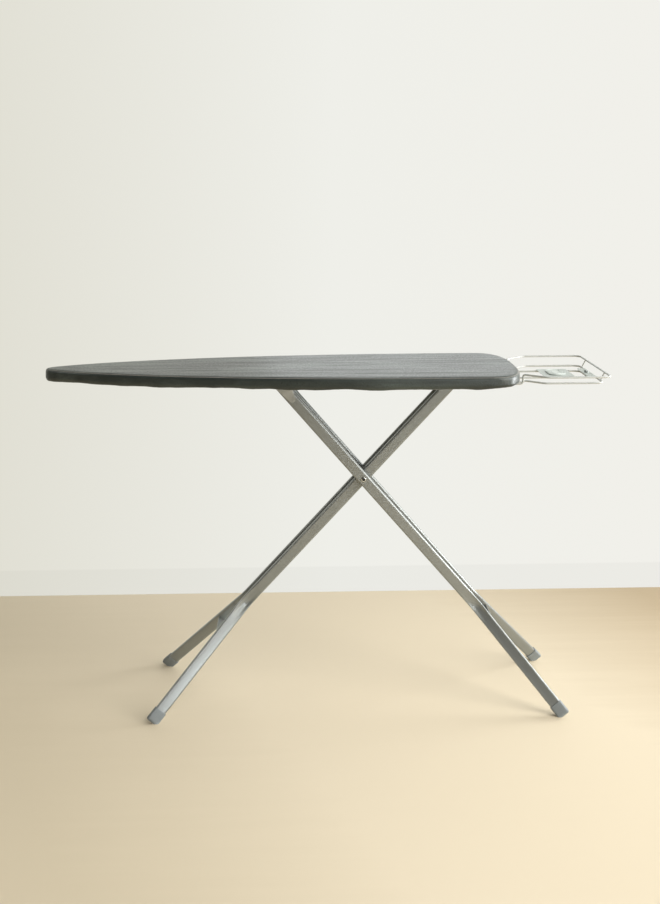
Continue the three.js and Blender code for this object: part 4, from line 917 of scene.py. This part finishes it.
world = bpy.data.worlds.new("studio")
bpy.context.scene.world = world
world.use_nodes = True
tree = world.node_tree
tree.nodes.clear()
way = add_node(tree, "ShaderNodeTexCoord").outputs["Generated"]
split = add_node(tree, "ShaderNodeSeparateXYZ", {"Vector": way})
# The backdrop is darker to the left and paler to the right: painted light of the window falling across the wall.
aside = add_node(tree, "ShaderNodeMapRange", {"Value": split.outputs["X"], "From Min": -0.3, "From Max": 0.3})
wall_tone_painted_light = add_node(tree, "ShaderNodeValToRGB", {"Fac": aside.outputs["Result"]},
                     stops=[(0.0, "#dfddd1"), (0.55, "#efefe9"), (1.0, "#f1f0ea")]).outputs["Color"]
backdrop = add_node(tree, "ShaderNodeBackground", {"Color": wall_tone_painted_light, "Strength": 1.0})
toward = add_node(tree, "ShaderNodeVectorMath", {0: way, 1: (0.76, 0.61, 0.21)}, operation="DOT_PRODUCT")
daylight = add_node(tree, "ShaderNodeMapRange", {"Value": toward.outputs["Value"], "From Min": 0.2, "From Max": 0.95,
                                                 "To Min": 0.06, "To Max": 1.95})
room = add_node(tree, "ShaderNodeBackground", {"Color": linear("#f8f8f4"), "Strength": daylight.outputs["Result"]})
rays = add_node(tree, "ShaderNodeLightPath")
behind = add_node(tree, "ShaderNodeMapRange", {"Value": split.outputs["Y"], "From Min": 0.0, "From Max": 0.3})
shine = add_node(tree, "ShaderNodeMath", {0: rays.outputs["Is Glossy Ray"], 1: behind.outputs["Result"]},
                 operation="MULTIPLY")
seen = add_node(tree, "ShaderNodeMath", {0: rays.outputs["Is Camera Ray"], 1: rays.outputs["Is Transmission Ray"]},
                operation="MAXIMUM")
share = add_node(tree, "ShaderNodeMath", {0: seen.outputs[0], 1: shine.outputs[0]}, operation="MAXIMUM")
both = add_node(tree, "ShaderNodeMixShader", {"Fac": share.outputs[0], 1: room.outputs[0], 2: backdrop.outputs[0]})
tree.links.new(both.outputs[0], add_node(tree, "ShaderNodeOutputWorld").inputs["Surface"])


def add_lamp(name, place, aim, size, power, colour):
    data = bpy.data.lights.new(name, "AREA")
    data.shape, data.size, data.energy, data.color = "SQUARE", size, power, linear(colour)[:3]
    lamp = bpy.data.objects.new(name, data)
    bpy.context.scene.collection.objects.link(lamp)
    lamp.location = place
    lamp.rotation_euler = (Vector(aim) - Vector(place)).to_track_quat("-Z", "Y").to_euler()
    return lamp


add_lamp("window on the right", (4.6, -2.7, 2.1), (0, 0, 0.5), 3.0, 185, "#fffcf7")
add_lamp("high on the right", (2.0, -1.2, 3.0), (0.1, 0, 0.5), 1.8, 34, "#fffcf6")
tail_window = add_lamp("low window beside the tail", (2.4, 0.6, 0.95), (0.45, 0, 0.85), 0.9, 13.0, "#fbfdff")
tail_window.data.spread = math.radians(100)
add_lamp("room in front", (1.2, -4.2, 2.4), (0, 0, 0.4), 2.2, 22, "#fffaf0")
low_glow = add_lamp("low glow in front", (1.05, -3.4, 1.05), (-0.3, 0, 0.2), 0.8, 1.9, "#f6faff")
low_glow.data.spread = math.radians(60)
add_lamp("gleam from the left", (-2.9, -0.8, 2.5), (0, 0, 0.6), 0.5, 9, "#fffaf2")
behind_board = add_lamp("soft window behind", (0.55, 3.6, 1.5), (0.2, 0, 0.9), 1.6, 5.5, "#f4faff")
behind_board.visible_camera = False

# %% [markdown]
# The camera's place, turn and lens come from matching known corners of the frame with the photograph, so it
# is set as one matrix: right, up and backward are its columns.

# %% Camera
right = Vector((0.99961927, -0.02724825, -0.00434184))
up = Vector((0.01082221, 0.24243927, 0.97010622))
forward = Vector((0.02538106, 0.96978386, -0.24264185))
lens = bpy.data.cameras.new("view")
lens.lens, lens.sensor_width = 44.466, 36
camera = bpy.data.objects.new("view", lens)
bpy.context.scene.collection.objects.link(camera)
camera.matrix_world = (Matrix.Translation((-0.0568, -2.8771, 1.4072))
                       @ Matrix((right, up, -forward)).transposed().to_4x4())
bpy.context.scene.camera = camera
bpy.context.scene.view_settings.view_transform = "Standard"
print("camera height:", round(camera.location.z, 3), "m")
